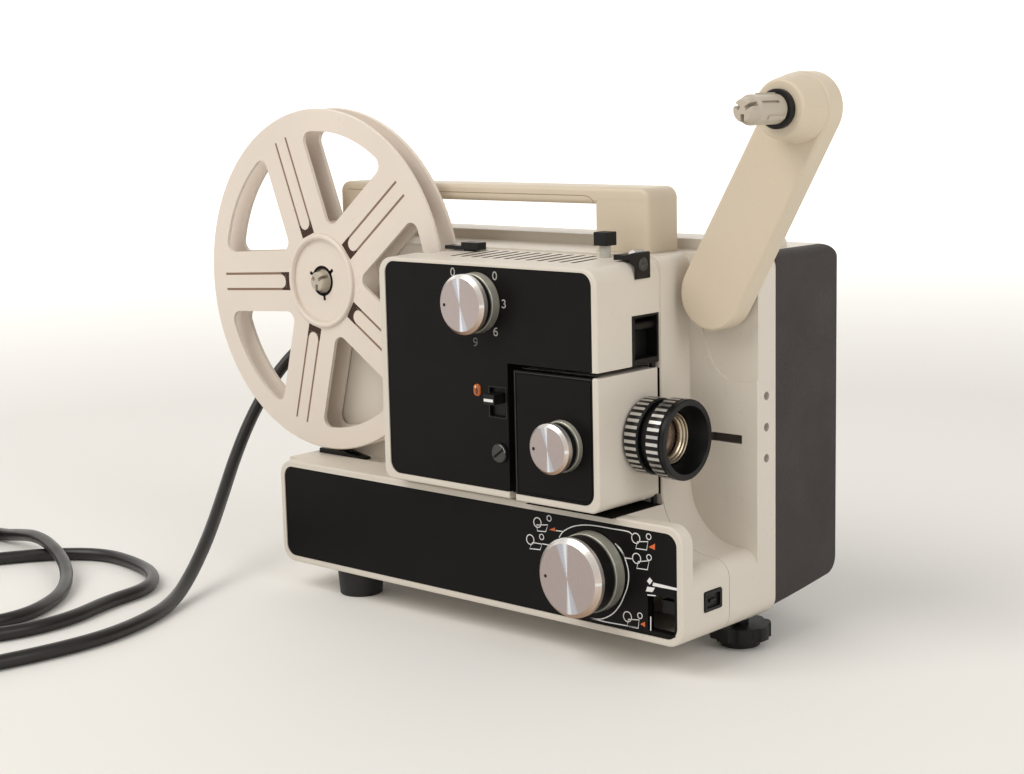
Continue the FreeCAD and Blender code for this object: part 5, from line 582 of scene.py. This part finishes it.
NODE_FINISH = {
    "ivory": ["base_shell", "main_body", "top_deck", "lens_door"],
    "head": ["head_shell"],
    "framing": ["framing_knob"],
    "arm": ["supply_arm", "arm_back_plate", "carrying_handle"],
    "reel": ["reel_front_flange", "reel_hub"],
    "panel": ["base_front_panel", "head_front_panel", "lens_door_panel"],
    "cover": ["rear_cover"],
    "black": ["side_window", "film_type_switch", "loop_lever", "film_inlet_guide",
              "film_exit_guide", "speed_control", "selector_switch", "spindle_ring", "trimmer_button",
              "foot_wheel", "lock_screw", "door_hinge_pins"],
    "grey": ["cooling_fan", "arm_drive"],
    "rubber": ["fixed_feet", "foot_pad", "strain_relief", "mains_plug", "drive_belt", "arm_belt"],
    "steel": ["rear_cover_screws", "shutter_shaft", "drive_brackets", "motor", "arm_pivot_tube"],
    "bright": ["film_inlet_roller", "film_gate", "pressure_plate"],
    "core": ["transformer"],
    "ceramic": ["lamp_holder"],
    "amber": ["pilot_light"],
    "glass": ["lens_glass"],
    "lamp": ["lamp"],
    "spindle": ["takeup_spindle", "supply_spindle"],
    "lens_black": ["lens_barrel", "zoom_ring"],
    "speed_skirt": ["speed_knob"],
    "focus_skirt": ["focus_knob"],
    "selector_skirt": ["selector_knob"],
    "speed_cap": ["speed_knob_cap"],
    "focus_cap": ["focus_knob_cap"],
    "selector_cap": ["selector_knob_cap"],
}


def paint(piece, material):
    """One material in every slot of a piece."""
    if not piece.material_slots:
        piece.data.materials.append(material)
    for material_slot in piece.material_slots:
        material_slot.material = material


def finish_nodes():
    for finish, names in NODE_FINISH.items():
        for name in names:
            paint(nodes[name], finish_of[finish])


finish_nodes()
paint(cord, finish_of["lead"])


# Ways to make a piece

BLOCK_FACES = ((0, 1, 3, 2), (4, 6, 7, 5), (0, 2, 6, 4), (1, 5, 7, 3), (0, 4, 5, 1), (2, 3, 7, 6))


def add_block(build, corners):
    """Adds a block with any eight corners, ordered as those of a box."""
    verts = [build.verts.new(at(*corner)) for corner in corners]
    for face in BLOCK_FACES:
        build.faces.new([verts[k] for k in face])


def box_corners(low, high):
    return [(x, y, z) for x in (low[0], high[0]) for y in (low[1], high[1]) for z in (low[2], high[2])]


def finished_piece(name, build, finish, body, soft=False):
    """Turns a collected shape into a painted piece that rides a body."""
    bmesh.ops.recalc_face_normals(build, faces=build.faces)
    mesh = bpy.data.meshes.new(name)
    build.to_mesh(mesh)
    build.free()
    for face in mesh.polygons:
        face.use_smooth = soft
    piece = add_object(name, mesh)
    paint(piece, finish)
    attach(piece, body)
    return piece


def turned_piece(name, profile, centre, finish, body, axis="x", steps=64):
    """A closed profile of places (along the axis, radius) turned about a line along x or y."""
    build = bmesh.new()
    rings = []
    for k in range(steps):
        angle = 2 * math.pi * k / steps
        ring = []
        for along, radius in profile:
            aside, up = centre[0] + radius * math.cos(angle), centre[1] + radius * math.sin(angle)
            ring.append(build.verts.new(at(along, aside, up) if axis == "x" else at(aside, along, up)))
        rings.append(ring)
    for first, second in zip(rings, rings[1:] + rings[:1]):
        for i in range(len(profile)):
            j = (i + 1) % len(profile)
            build.faces.new((first[i], first[j], second[j], second[i]))
    return finished_piece(name, build, finish, body, soft=True)


def block_piece(name, corners, finish, body="body"):
    build = bmesh.new()
    add_block(build, corners)
    return finished_piece(name, build, finish, body)


# Printed marks: thin raised shapes in the colour of the print

PRINT_WIDTH = 0.5
PRINT_RISE = 0.06
PRINT_SINK = 0.02


class Sheet:
    """Collects flat closed shapes that stand a little proud of a face seen from the front."""

    def __init__(self, face):
        self.face = face
        self.build = bmesh.new()

    def prism(self, outline):
        """A filled outline of places (x, z), convex or nearly so."""
        front = [self.build.verts.new(at(x, self.face - PRINT_RISE, z)) for x, z in outline]
        back = [self.build.verts.new(at(x, self.face + PRINT_SINK, z)) for x, z in outline]
        self.build.faces.new(front)
        self.build.faces.new(back[::-1])
        for i in range(len(outline)):
            j = (i + 1) % len(outline)
            self.build.faces.new((front[j], front[i], back[i], back[j]))

    def stroke(self, points, width=PRINT_WIDTH, closed=False):
        """A line of even width through places (x, z)."""
        count = len(points)
        left, right = [], []
        for i, (x, z) in enumerate(points):
            before = points[i - 1] if i > 0 or closed else points[i]
            after = points[(i + 1) % count] if i + 1 < count or closed else points[i]
            heading = Vector((after[0] - before[0], after[1] - before[1])).normalized()
            side = Vector((-heading.y, heading.x)) * width / 2
            left.append((x + side.x, z + side.y))
            right.append((x - side.x, z - side.y))
        for i in range(count if closed else count - 1):
            j = (i + 1) % count
            self.prism([left[i], left[j], right[j], right[i]])

    def ring(self, x, z, radius, width=PRINT_WIDTH, steps=20, squeeze=1.0):
        points = arc(x, z, radius, radius * squeeze, 0, 360 - 360 / steps, steps - 1)
        self.stroke(points, width, closed=True)

    def piece(self, name, finish, body="body"):
        finished_piece(name, self.build, finish, body)


def arc(x, z, across, up, start, end, steps):
    """Places on an ellipse from one angle to another, in degrees."""
    angles = [math.radians(start + (end - start) * i / steps) for i in range(steps + 1)]
    return [(x + across * math.cos(a), z + up * math.sin(a)) for a in angles]


def smooth(points, steps=6):
    """The same line with rounded bends: a Catmull-Rom curve through all its places."""
    ends = [points[0], *points, points[-1]]
    line = []
    for a, b, c, d in zip(ends, ends[1:], ends[2:], ends[3:]):
        for i in range(steps):
            t = i / steps
            line.append(tuple(0.5 * (2 * b[k] + (c[k] - a[k]) * t
                                     + (2 * a[k] - 5 * b[k] + 4 * c[k] - d[k]) * t * t
                                     + (3 * b[k] - a[k] - 3 * c[k] + d[k]) * t * t * t) for k in (0, 1)))
    return line + [points[-1]]


DIGIT_LINE = 0.55


def digit_lines(digit):
    """Lines of a plain digit 4 mm high about its middle."""
    if digit == "0":
        return [arc(0, 0, 1.15, 1.75, 0, 360, 24)]
    if digit == "3":
        return [arc(0, 0.9, 0.95, 0.85, 155, -90, 14) + arc(0, -0.87, 1.1, 0.9, 90, -155, 16)]
    tail = smooth([(0.95, 1.72), (0.1, 1.62), (-0.75, 1.0), (-1.12, 0.1), (-1.12, -0.75)])
    lines = [arc(0, -0.72, 1.12, 1.02, 0, 360, 24), tail]
    if digit == "9":
        return [[(-x, -z) for x, z in line] for line in lines]
    return lines


def dial_numbers():
    bright = Sheet(HEAD_SEAT)
    dim = Sheet(HEAD_SEAT)
    for digit, x, z, sheet in (("0", -124.6, 174.7, bright), ("0", -98.1, 174.2, bright),
                               ("3", -93.0, 161.7, bright), ("6", -98.3, 148.5, bright),
                               ("9", -111.1, 142.9, dim)):
        for line in digit_lines(digit):
            sheet.stroke([(x + a, z + b) for a, b in line], DIGIT_LINE)
    bright.piece("dial_numbers", finish_of["print_grey"])
    dim.piece("dial_number_dim", finish_of["print_dim"])


# Pictograms of the threading steps: the reel's circle, the small circle, the body's outline and
# the corners of the arrow head
PICTOGRAMS = (
    ((-84.1, 59.3), (-76.9, 62.3), ((-84.6, 58.1), (-84.2, 55.3), (-79.1, 55.7), (-77.7, 59.1)),
     ((-77.0, 56.9), (-73.4, 58.5), (-73.4, 56.7))),
    ((-88.8, 50.5), (-81.7, 52.8), ((-87.5, 49.3), (-89.3, 46.1), (-82.7, 46.6), (-81.6, 49.4)), None),
    ((-26.1, 60.4), (-18.9, 62.2), ((-25.2, 59.0), (-26.2, 55.8), (-20.1, 56.0), (-19.3, 59.9)),
     ((-19.0, 57.5), (-15.4, 59.6), (-15.5, 56.7))),
    ((-25.8, 51.3), (-18.8, 52.8), ((-24.9, 50.0), (-25.8, 46.8), (-19.8, 47.1), (-18.8, 51.3)), None),
    ((-31.4, 23.6), (-24.3, 25.3), ((-30.9, 22.5), (-31.5, 19.4), (-25.3, 19.5), (-24.8, 23.3)),
     ((-24.1, 21.5), (-21.5, 23.1), (-21.5, 20.6))),
)
DIAL_ARCS = (
    ((-71.0, 54.1), (-68.4, 57.3), (-63.3, 60.2), (-58.3, 61.7), (-53.4, 62.5), (-47.5, 62.8),
     (-39.8, 62.8), (-30.3, 62.8), (-28.0, 61.2)),
    ((-38.0, 56.2), (-35.2, 54.5), (-33.1, 51.7), (-31.0, 46.7), (-30.4, 42.2), (-31.2, 37.5),
     (-32.9, 33.4), (-35.6, 28.3), (-39.6, 23.7), (-44.4, 20.7), (-48.4, 19.4), (-53.3, 19.2)),
    ((-53.3, 19.2), (-44.5, 18.9), (-32.9, 19.3), (-25.3, 19.3)),
)
DIAL_LINKS = (
    ((-72.9, 57.1), (-68.4, 57.3)),
    ((-37.3, 55.8), (-34.3, 53.1), (-32.4, 50.7)),
    ((-32.4, 50.5), (-28.6, 50.7)),
    ((-81.3, 49.6), (-77.5, 49.6)),
    ((-18.2, 26.0), (-18.3, 19.5)),
    ((-19.9, 35.6), (-15.3, 36.0)),
)
WHITE_SHAPES = (
    ((-16.6, 41.8), (-3.6, 41.4), (-3.6, 40.3), (-17.1, 40.2)),
    ((-18.6, 43.8), (-17.0, 42.5), (-18.5, 40.5), (-20.1, 41.8)),
    ((-19.9, 39.4), (-15.7, 39.5), (-17.1, 37.4), (-20.8, 37.1)),
)
REEL_RING = 2.3
SMALL_RING = 1.3


def base_marks():
    white = Sheet(BASE_SEAT)
    orange = Sheet(BASE_SEAT)
    for line in DIAL_ARCS:
        white.stroke(smooth(line))
    for line in DIAL_LINKS:
        white.stroke(line)
    for outline in WHITE_SHAPES:
        white.prism(outline)
    for reel, small, outline, arrow in PICTOGRAMS:
        white.ring(*reel, REEL_RING, 0.45)
        white.ring(*small, SMALL_RING, 0.4, 14)
        white.stroke(outline, 0.45, closed=True)
        if arrow:
            orange.prism(arrow)
    white.piece("base_marks", finish_of["print"])
    orange.piece("base_arrows", finish_of["print_orange"])


# Places (x, z) on the head: the rim of the switch's slot, and the edge of the lens door's panel
SWITCH_RIM = ((-103.45, 108.65), (-92.75, 108.65), (-92.75, 123.05), (-103.45, 123.05))
DOOR_EDGE = ((-87.2, 75.0), (-87.2, 131.1), (-42.2, 131.1))
KEY_FRONT = -15.8
KEY_BAR = ((-100.95, 116.9), (-95.25, 116.9), (-95.25, 118.2), (-100.95, 118.2))


def head_marks():
    """Faint lines round the switch's slot and along the door, and the white bar on the switch's key."""
    rim = Sheet(HEAD_SEAT)
    rim.stroke(SWITCH_RIM, 0.3, closed=True)
    rim.piece("switch_outline", finish_of["print_faint"])
    edge = Sheet(HEAD_SEAT)
    edge.stroke(DOOR_EDGE, 0.35)
    edge.piece("door_edge_line", finish_of["print_faint"], "lens_door")
    bar = Sheet(KEY_FRONT)
    bar.prism(KEY_BAR)
    bar.piece("switch_bar", finish_of["print"], "film_switch")


# On a metal cap: half the height of the index dash, and place and size of the dot and of the cover
# over the solid's dimple, in parts of the cap's radius and in millimetres
DASH_HALF = 0.65
DOT = {"across": -0.7, "up": -0.03, "radius": 0.8}
DIMPLE_COVER = {"across": -0.62, "up": 0.1, "radius": 1.15}


def bevel_dash(name, knob, body):
    """White index dash on the bevel of a metal cap, at its right."""
    radius = knob["radius"]
    corners = []
    for lift in (-0.1, 0.3):
        for share in (1.005 - CAP_BEVEL, 0.995):
            y = knob_front(knob) + (share - 1 + CAP_BEVEL) * radius + lift
            for z in (knob["z"] - DASH_HALF, knob["z"] + DASH_HALF):
                corners.append((knob["x"] + share * radius, y, z))
    block_piece(name, corners, finish_of["print"], body)


def cap_spot(name, knob, face, spot, finish, body):
    """A round spot on the face of a metal cap."""
    sheet = Sheet(face)
    x, z = knob["x"] + spot["across"] * knob["radius"], knob["z"] + spot["up"] * knob["radius"]
    sheet.prism(arc(x, z, spot["radius"], spot["radius"], 0, 345, 23))
    sheet.piece(name, finish, body)


def knob_marks():
    """Dark dot and white index dash of each metal cap."""
    for name, knob, body in (("speed", SPEED, "speed_dial"), ("focus", FOCUS, "focus_dial"),
                             ("selector", SELECTOR, "selector")):
        front = knob_front(knob)
        cap_spot(name + "_dimple_cover", knob, front + PRINT_RISE - 0.01, DIMPLE_COVER,
                 finish_of[name + "_cap"], body)
        cap_spot(name + "_dot", knob, front, DOT, finish_of["black"], body)
        bevel_dash(name + "_index", knob, body)


# Lens: bright tops of the grip ribs, and the rings of the front cell

LENS_Y = 23.4
LENS_Z = 102.3
GRIP_RADIUS = 17.2      # of the plain grip in the part's source
REAR_OUTER = 17.5       # as wide as the pocket in the body lets the lens swing
FRONT_OUTER = 18.2
RIB_COUNT = 34
RIB_WIDTH = 1.48
RIB_RISE = 0.12
REAR_BAND = (-36.4, -30.0)
FRONT_BAND = (-23.7, -17.3)
CELL_RINGS = ((-24.2, 11.6), (-22.7, 11.6), (-22.5, 11.3), (-22.7, 10.9), (-23.5, 10.8), (-23.9, 10.75),
              (-23.9, 10.2), (-24.6, 10.1), (-25.2, 9.8), (-25.2, 9.3), (-26.4, 9.2), (-27.4, 9.2),
              (-27.4, 10.6), (-24.4, 10.6))


def grip_ribs(name, band, outer, body):
    """Black grip ring with bright dashes along it."""
    low, high = band
    ring = [(low - 0.5, GRIP_RADIUS - 0.4), (low - 0.5, outer - 0.4), (low - 0.1, outer), (high + 0.1, outer),
            (high + 0.5, outer - 0.4), (high + 0.5, GRIP_RADIUS - 0.4)]
    turned_piece(name + "_ring", ring, (LENS_Y, LENS_Z), finish_of["lens_black"], body)
    build = bmesh.new()
    half = RIB_WIDTH / 2 / outer
    for i in range(RIB_COUNT):
        middle = 2 * math.pi * i / RIB_COUNT
        corners = [(x, LENS_Y + radius * math.cos(angle), LENS_Z + radius * math.sin(angle))
                   for radius in (outer - 0.2, outer + RIB_RISE)
                   for x in band for angle in (middle - half, middle + half)]
        add_block(build, corners)
    finished_piece(name, build, finish_of["rib"], body)


# Lock screw; its slot's half length is a part of the radius, and its slope is rise over run
LOCK = {"x": -97.0, "z": 92.3, "front": -10.9, "radius": 4.2, "reach": 0.68, "slope": 0.72, "width": 1.1}
# Carrying handle: sides, ends, grip and posts, and the rounding of its ends and edges
HANDLE_LEFT = -255.5
HANDLE_RIGHT = -49.5
HANDLE_FACE = 42.0
HANDLE_BACK = 65.0
HANDLE_TOP = 212.0
HANDLE_LOW = 155.6
HANDLE_GRIP = 8.0
HANDLE_POST = 32.0
HANDLE_END_ROUND = 5.5
HANDLE_EDGE_ROUND = 2.2
HANDLE_INSET = 0.03     # keeps the faces of post and grip apart
GROOVE_Z = 207.9
NEAR = 1e-6             # metres
SHARP = 1.0             # radians between the faces of an edge that gets rounded


def lock_face():
    """Face of the lock screw with its slot as the photo shows it, rising to the right; the slot is painted
    shade and an arc at its upper right is a painted highlight.
    """
    x, z, radius = LOCK["x"], LOCK["z"], LOCK["radius"]
    face = Sheet(LOCK["front"])
    face.prism(arc(x, z, radius, radius, 0, 350, 35))
    face.piece("lock_face", finish_of["boss"], "lock")
    # The slot: a black sheet of painted shade
    slot = Sheet(LOCK["front"] - PRINT_RISE)
    reach = radius * LOCK["reach"]
    rise = reach * LOCK["slope"]
    slot.stroke([(x - reach, z - rise), (x + reach, z + rise)], LOCK["width"])
    slot.piece("lock_slot", finish_of["panel"], "lock")
    # Painted highlight along the upper right of the face
    shine = Sheet(LOCK["front"] - PRINT_RISE)
    shine.stroke(arc(x, z, radius - 0.2, radius - 0.2, 10, 80, 10), 0.28)
    shine.piece("lock_highlight", finish_of["print_grey"], "lock")


def add_rounded_box(build, low, high, round_top, round_bottom):
    """A box with rounded upright edges, and rounded ends and edges at the top and at the bottom."""
    part = bmesh.new()
    add_block(part, box_corners(low, high))
    bmesh.ops.recalc_face_normals(part, faces=part.faces)
    top, bottom = at(0, 0, high[2])[2], at(0, 0, low[2])[2]

    def level(edge, height):
        return all(abs(v.co.z - height) < NEAR for v in edge.verts)

    if round_top:
        ends = [e for e in part.edges if level(e, top) and abs(e.verts[0].co.x - e.verts[1].co.x) < NEAR]
        bmesh.ops.bevel(part, geom=ends, offset=HANDLE_END_ROUND * MILLIMETRE, segments=8, profile=0.5,
                        affect="EDGES")
    edges = []
    for edge in part.edges:
        if len(edge.link_faces) != 2 or edge.calc_face_angle() < SHARP:
            continue
        if (level(edge, top) and not round_top) or (level(edge, bottom) and not round_bottom):
            continue
        edges.append(edge)
    bmesh.ops.bevel(part, geom=edges, offset=HANDLE_EDGE_ROUND * MILLIMETRE, segments=4, profile=0.5,
                    affect="EDGES")
    mesh = bpy.data.meshes.new("rounded_box")
    part.to_mesh(mesh)
    part.free()
    build.from_mesh(mesh)
    bpy.data.meshes.remove(mesh)


def carrying_handle():
    """Handle with a rounded grip over two posts, and a groove line along the grip."""
    left, right, front, back = HANDLE_LEFT, HANDLE_RIGHT, HANDLE_FACE, HANDLE_BACK
    build = bmesh.new()
    add_rounded_box(build, (left, front, HANDLE_TOP - HANDLE_GRIP), (right, back, HANDLE_TOP), True, True)
    inset = HANDLE_INSET
    for start, end in ((left + inset, left + HANDLE_POST), (right - HANDLE_POST, right - inset)):
        add_rounded_box(build, (start, front + inset, HANDLE_LOW),
                        (end, back - inset, HANDLE_TOP - HANDLE_END_ROUND), False, False)
    handle = finished_piece("handle_grip", build, finish_of["arm"], "handle", soft=True)
    handle.data.set_sharp_from_angle(angle=math.radians(30))
    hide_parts("carrying_handle")
    line = Sheet(HANDLE_FACE)
    post = right - HANDLE_POST
    line.stroke([(left + 6.0, GROOVE_Z), (post - 6.0, GROOVE_Z), (post - 3.0, GROOVE_Z - 0.6),
                 (post - 1.2, GROOVE_Z - 1.9), (post - 0.6, GROOVE_Z - 3.3)], 0.35)
    line.piece("handle_groove", finish_of["groove"], "handle")


# Reel hub: centre, fronts of its face and of its rim, and the dark hole round the spindle with its notches,
# drawn as painted shade
HUB = {"x": -248.7, "z": 161.3, "face": 20.9, "rim": 19.6, "hole": 7.2, "hole_line": 1.5}
NOTCH = {"angles": (37, 157, 277), "start": 7.0, "end": 10.2, "width": 1.7}


def reel_hub():
    """Bead on the hub's rim, and painted shade for the dark splined hole round the spindle."""
    rim = HUB["rim"]
    bead = [(rim + 0.1, 21.8), (rim - 0.4, 22.0), (rim - 0.8, 22.6), (rim - 0.8, 23.8), (rim - 0.4, 24.4),
            (rim + 0.1, 24.6)]
    turned_piece("hub_bead", bead, (HUB["x"], HUB["z"]), finish_of["reel"], "reel", axis="y", steps=96)
    hole = Sheet(HUB["face"])
    hole.ring(HUB["x"], HUB["z"], HUB["hole"], HUB["hole_line"], 36)
    for angle in NOTCH["angles"]:
        across, up = math.cos(math.radians(angle)), math.sin(math.radians(angle))
        ends = [(HUB["x"] + reach * across, HUB["z"] + reach * up)
                for reach in (NOTCH["start"], NOTCH["end"])]
        hole.stroke(ends, NOTCH["width"])
    hole.piece("hub_hole_shade", finish_of["shade"], "reel")


# Slots of the reel's spokes, as in the part's source, and the rounding of the tongues' ends
SPOKE_SLOT = {"inner": 25.0, "outer": 78.0, "tongue": 28.5, "offset": 4.2, "width": 1.3, "round": 3.3}
SPOKE_COUNT = 5
FIRST_SPOKE = 39.2
FLANGE_FRONT = 20.3
SLOT_SHADE_DEPTH = 0.22
SLOT_SHADE_GAP = 0.02


def spoke_place(spoke, along, across):
    """Place (x, z) on a spoke of the reel, given along and across the spoke."""
    turn = math.radians(FIRST_SPOKE + 360 / SPOKE_COUNT * spoke)
    return (HUB["x"] + along * math.cos(turn) - across * math.sin(turn),
            HUB["z"] + along * math.sin(turn) + across * math.cos(turn))


def spoke_strip(sheet, spoke, near, far, inside, outside):
    """A rectangle on a spoke, from near to far along it and from inside to outside across it."""
    corners = ((near, inside), (far, inside), (far, outside), (near, outside))
    sheet.prism([spoke_place(spoke, along, across) for along, across in corners])


def spoke_slots():
    """Painted shade in the slots of the spokes, and dark corners of painted shade that round the tongues
    between them.
    """
    leg, cross = Sheet(FLANGE_FRONT + SLOT_SHADE_DEPTH), Sheet(FLANGE_FRONT + SLOT_SHADE_DEPTH)
    corner = Sheet(FLANGE_FRONT)
    low, high, end = SPOKE_SLOT["inner"], SPOKE_SLOT["outer"], SPOKE_SLOT["tongue"]
    side, bend = SPOKE_SLOT["offset"] - SPOKE_SLOT["width"] / 2, SPOKE_SLOT["round"]
    gap = SLOT_SHADE_GAP
    for spoke in range(SPOKE_COUNT):
        for sign in (-1, 1):
            inside, outside = sign * (side + gap), sign * (side + SPOKE_SLOT["width"] - gap)
            spoke_strip(cross, spoke, low, end + bend, inside, outside)
            spoke_strip(leg, spoke, end + bend, high, inside, outside)
            bow = arc(end + bend, sign * (side - bend), -bend, sign * bend, 0, 90, 6)
            corner.prism([spoke_place(spoke, a, b) for a, b in [(end, sign * side), *bow]])
        spoke_strip(cross, spoke, low + gap, end - gap, -side, side)
    leg.piece("slot_shades", finish_of["slot"], "reel")
    cross.piece("slot_end_shades", finish_of["slot_end"], "reel")
    corner.piece("tongue_corner_shades", finish_of["slot_end"], "reel")


LIGHT_FRONT = -10.5
# Spots in the amber window, painted shade in its core and a painted highlight: centre x and z, half width and
# half height, and finish
LIGHT_SPOTS = {
    "pilot_core": (-110.3, 120.1, 0.8, 1.5, "amber_shade"),
    "pilot_glint": (-111.1, 122.1, 0.45, 0.7, "glint"),
}


def pilot_glow():
    """Painted shade in the core and a painted highlight as a bright glint in the amber window."""
    for name, (x, z, across, up, finish) in LIGHT_SPOTS.items():
        spot = Sheet(LIGHT_FRONT)
        spot.prism(arc(x, z, across, up, 0, 337.5, 15))
        spot.piece(name, finish_of[finish])


# Dark plates at the bottom of gaps, painted shade in the door's gap and seam: two corners and finish
SHADES = {
    "recess_plate": ((-24.4, 57.2, 96.1), (-8.6, 58.4, 99.8), "cover"),
    "recess_plate_end": ((-29.0, 56.38, 96.1), (-24.1, 56.7, 99.8), "cover"),
    "door_gap_shade": ((-88.0, -3.0, 68.33), (-36.8, 33.3, 68.5), "shade"),
    "door_seam_shade": ((-41.0, 34.12, 73.0), (-38.1, 34.28, 131.5), "shade"),
}
# Round boss on the right face of the inlet guide: profile of places (x, radius) and centre (y, z)
BOSS_PROFILE = ((-38.6, 0.3), (-38.6, 3.2), (-36.7, 3.2), (-36.3, 2.7), (-36.3, 0.3))
BOSS_CENTRE = (21.5, 179.6)


def gap_shades():
    for name, (low, high, finish) in SHADES.items():
        block_piece(name, box_corners(low, high), finish_of[finish])


dial_numbers()
base_marks()
head_marks()
knob_marks()
grip_ribs("rear_grip_ribs", REAR_BAND, REAR_OUTER, "lens")
grip_ribs("front_grip_ribs", FRONT_BAND, FRONT_OUTER, "zoom")
turned_piece("front_cell", CELL_RINGS, (LENS_Y, LENS_Z), finish_of["cell"], "lens")
gap_shades()
turned_piece("guide_boss", BOSS_PROFILE, BOSS_CENTRE, finish_of["boss"], "body")
lock_face()
carrying_handle()
reel_hub()
spoke_slots()
pilot_glow()


# Floor, backdrop and light

LIT_PLACE = Vector((0, 0, 0.1))


def make_stage():
    """A pale floor that sweeps up into a pale wall behind the part."""
    mesh = bpy.data.meshes.new("floor")
    build = bmesh.new()
    front, depth, sweep, height, width = -4.0, 2.4, 0.8, 3.0, 8.0
    profile = [(front, 0.0), (depth, 0.0)]
    steps = 16
    for i in range(1, steps + 1):
        angle = math.pi / 2 * i / steps
        profile.append((depth + sweep * math.sin(angle), sweep * (1 - math.cos(angle))))
    profile.append((depth + sweep, height))
    turn = math.radians(CAMERA_TURN[2])
    rows = []
    for along, up in profile:
        row = []
        for across in (-width, width):
            x = across * math.cos(turn) - along * math.sin(turn)
            y = across * math.sin(turn) + along * math.cos(turn)
            row.append(build.verts.new((x, y, up)))
        rows.append(row)
    for first, second in zip(rows, rows[1:]):
        build.faces.new((first[0], first[1], second[1], second[0]))
    build.to_mesh(mesh)
    build.free()
    floor = add_object("floor", mesh)
    for face in mesh.polygons:
        face.use_smooth = True
    material, tree, shader = new_material("pale_floor")
    shader.inputs["Base Color"].default_value = linear(236, 234, 230)
    shader.inputs["Roughness"].default_value = 0.7
    rise = split_place(tree, object_place(tree))["Z"]
    far = distance_from(tree, object_place(tree), (0, 0, 0), "z")
    high = spread(tree, rise, 0.0, 0.5, 0.0, 1.0)
    away = spread(tree, far, 0.7, depth, 0.0, 1.0)
    glow = combine(tree, "MAXIMUM", high, away)
    join(tree, mixed(tree, glow, linear(0, 0, 0), linear(255, 254, 252)), shader.inputs["Emission Color"])
    shader.inputs["Emission Strength"].default_value = 0.6
    paint(floor, material)


def add_light(name, place, size, power, colour):
    """A rectangular light that looks at the part."""
    data = bpy.data.lights.new(name, "AREA")
    data.shape = "RECTANGLE"
    data.size, data.size_y = size
    data.energy = power
    data.color = colour
    light = add_object(name, data)
    light.location = place
    light.rotation_euler = (LIT_PLACE - Vector(place)).to_track_quat("-Z", "Y").to_euler()


def make_world():
    """Soft warm light all round, seen as white by the camera."""
    world = bpy.data.worlds.new("studio")
    bpy.context.scene.world = world
    world.use_nodes = True
    tree = world.node_tree
    background = tree.nodes["Background"]
    background.inputs["Color"].default_value = (1.0, 0.98, 0.95, 1.0)
    background.inputs["Strength"].default_value = 0.5
    white = add_node(tree, "ShaderNodeBackground", {"Color": (1.0, 1.0, 1.0, 1.0), "Strength": 1.0})
    seen = add_node(tree, "ShaderNodeLightPath").outputs["Is Camera Ray"]
    choice = add_node(tree, "ShaderNodeMixShader")
    join(tree, seen, choice.inputs[0])
    join(tree, background.outputs[0], choice.inputs[1])
    join(tree, white.outputs[0], choice.inputs[2])
    join(tree, choice.outputs[0], tree.nodes["World Output"].inputs["Surface"])


make_stage()
make_world()
add_light("key", place=(-0.6, -1.5, 1.9), size=(1.7, 1.7), power=31, colour=(1.0, 0.97, 0.92))
add_light("side", place=(1.9, -0.3, 1.1), size=(1.0, 1.4), power=12, colour=(1.0, 0.98, 0.96))
bpy.context.scene.view_settings.view_transform = "Standard"
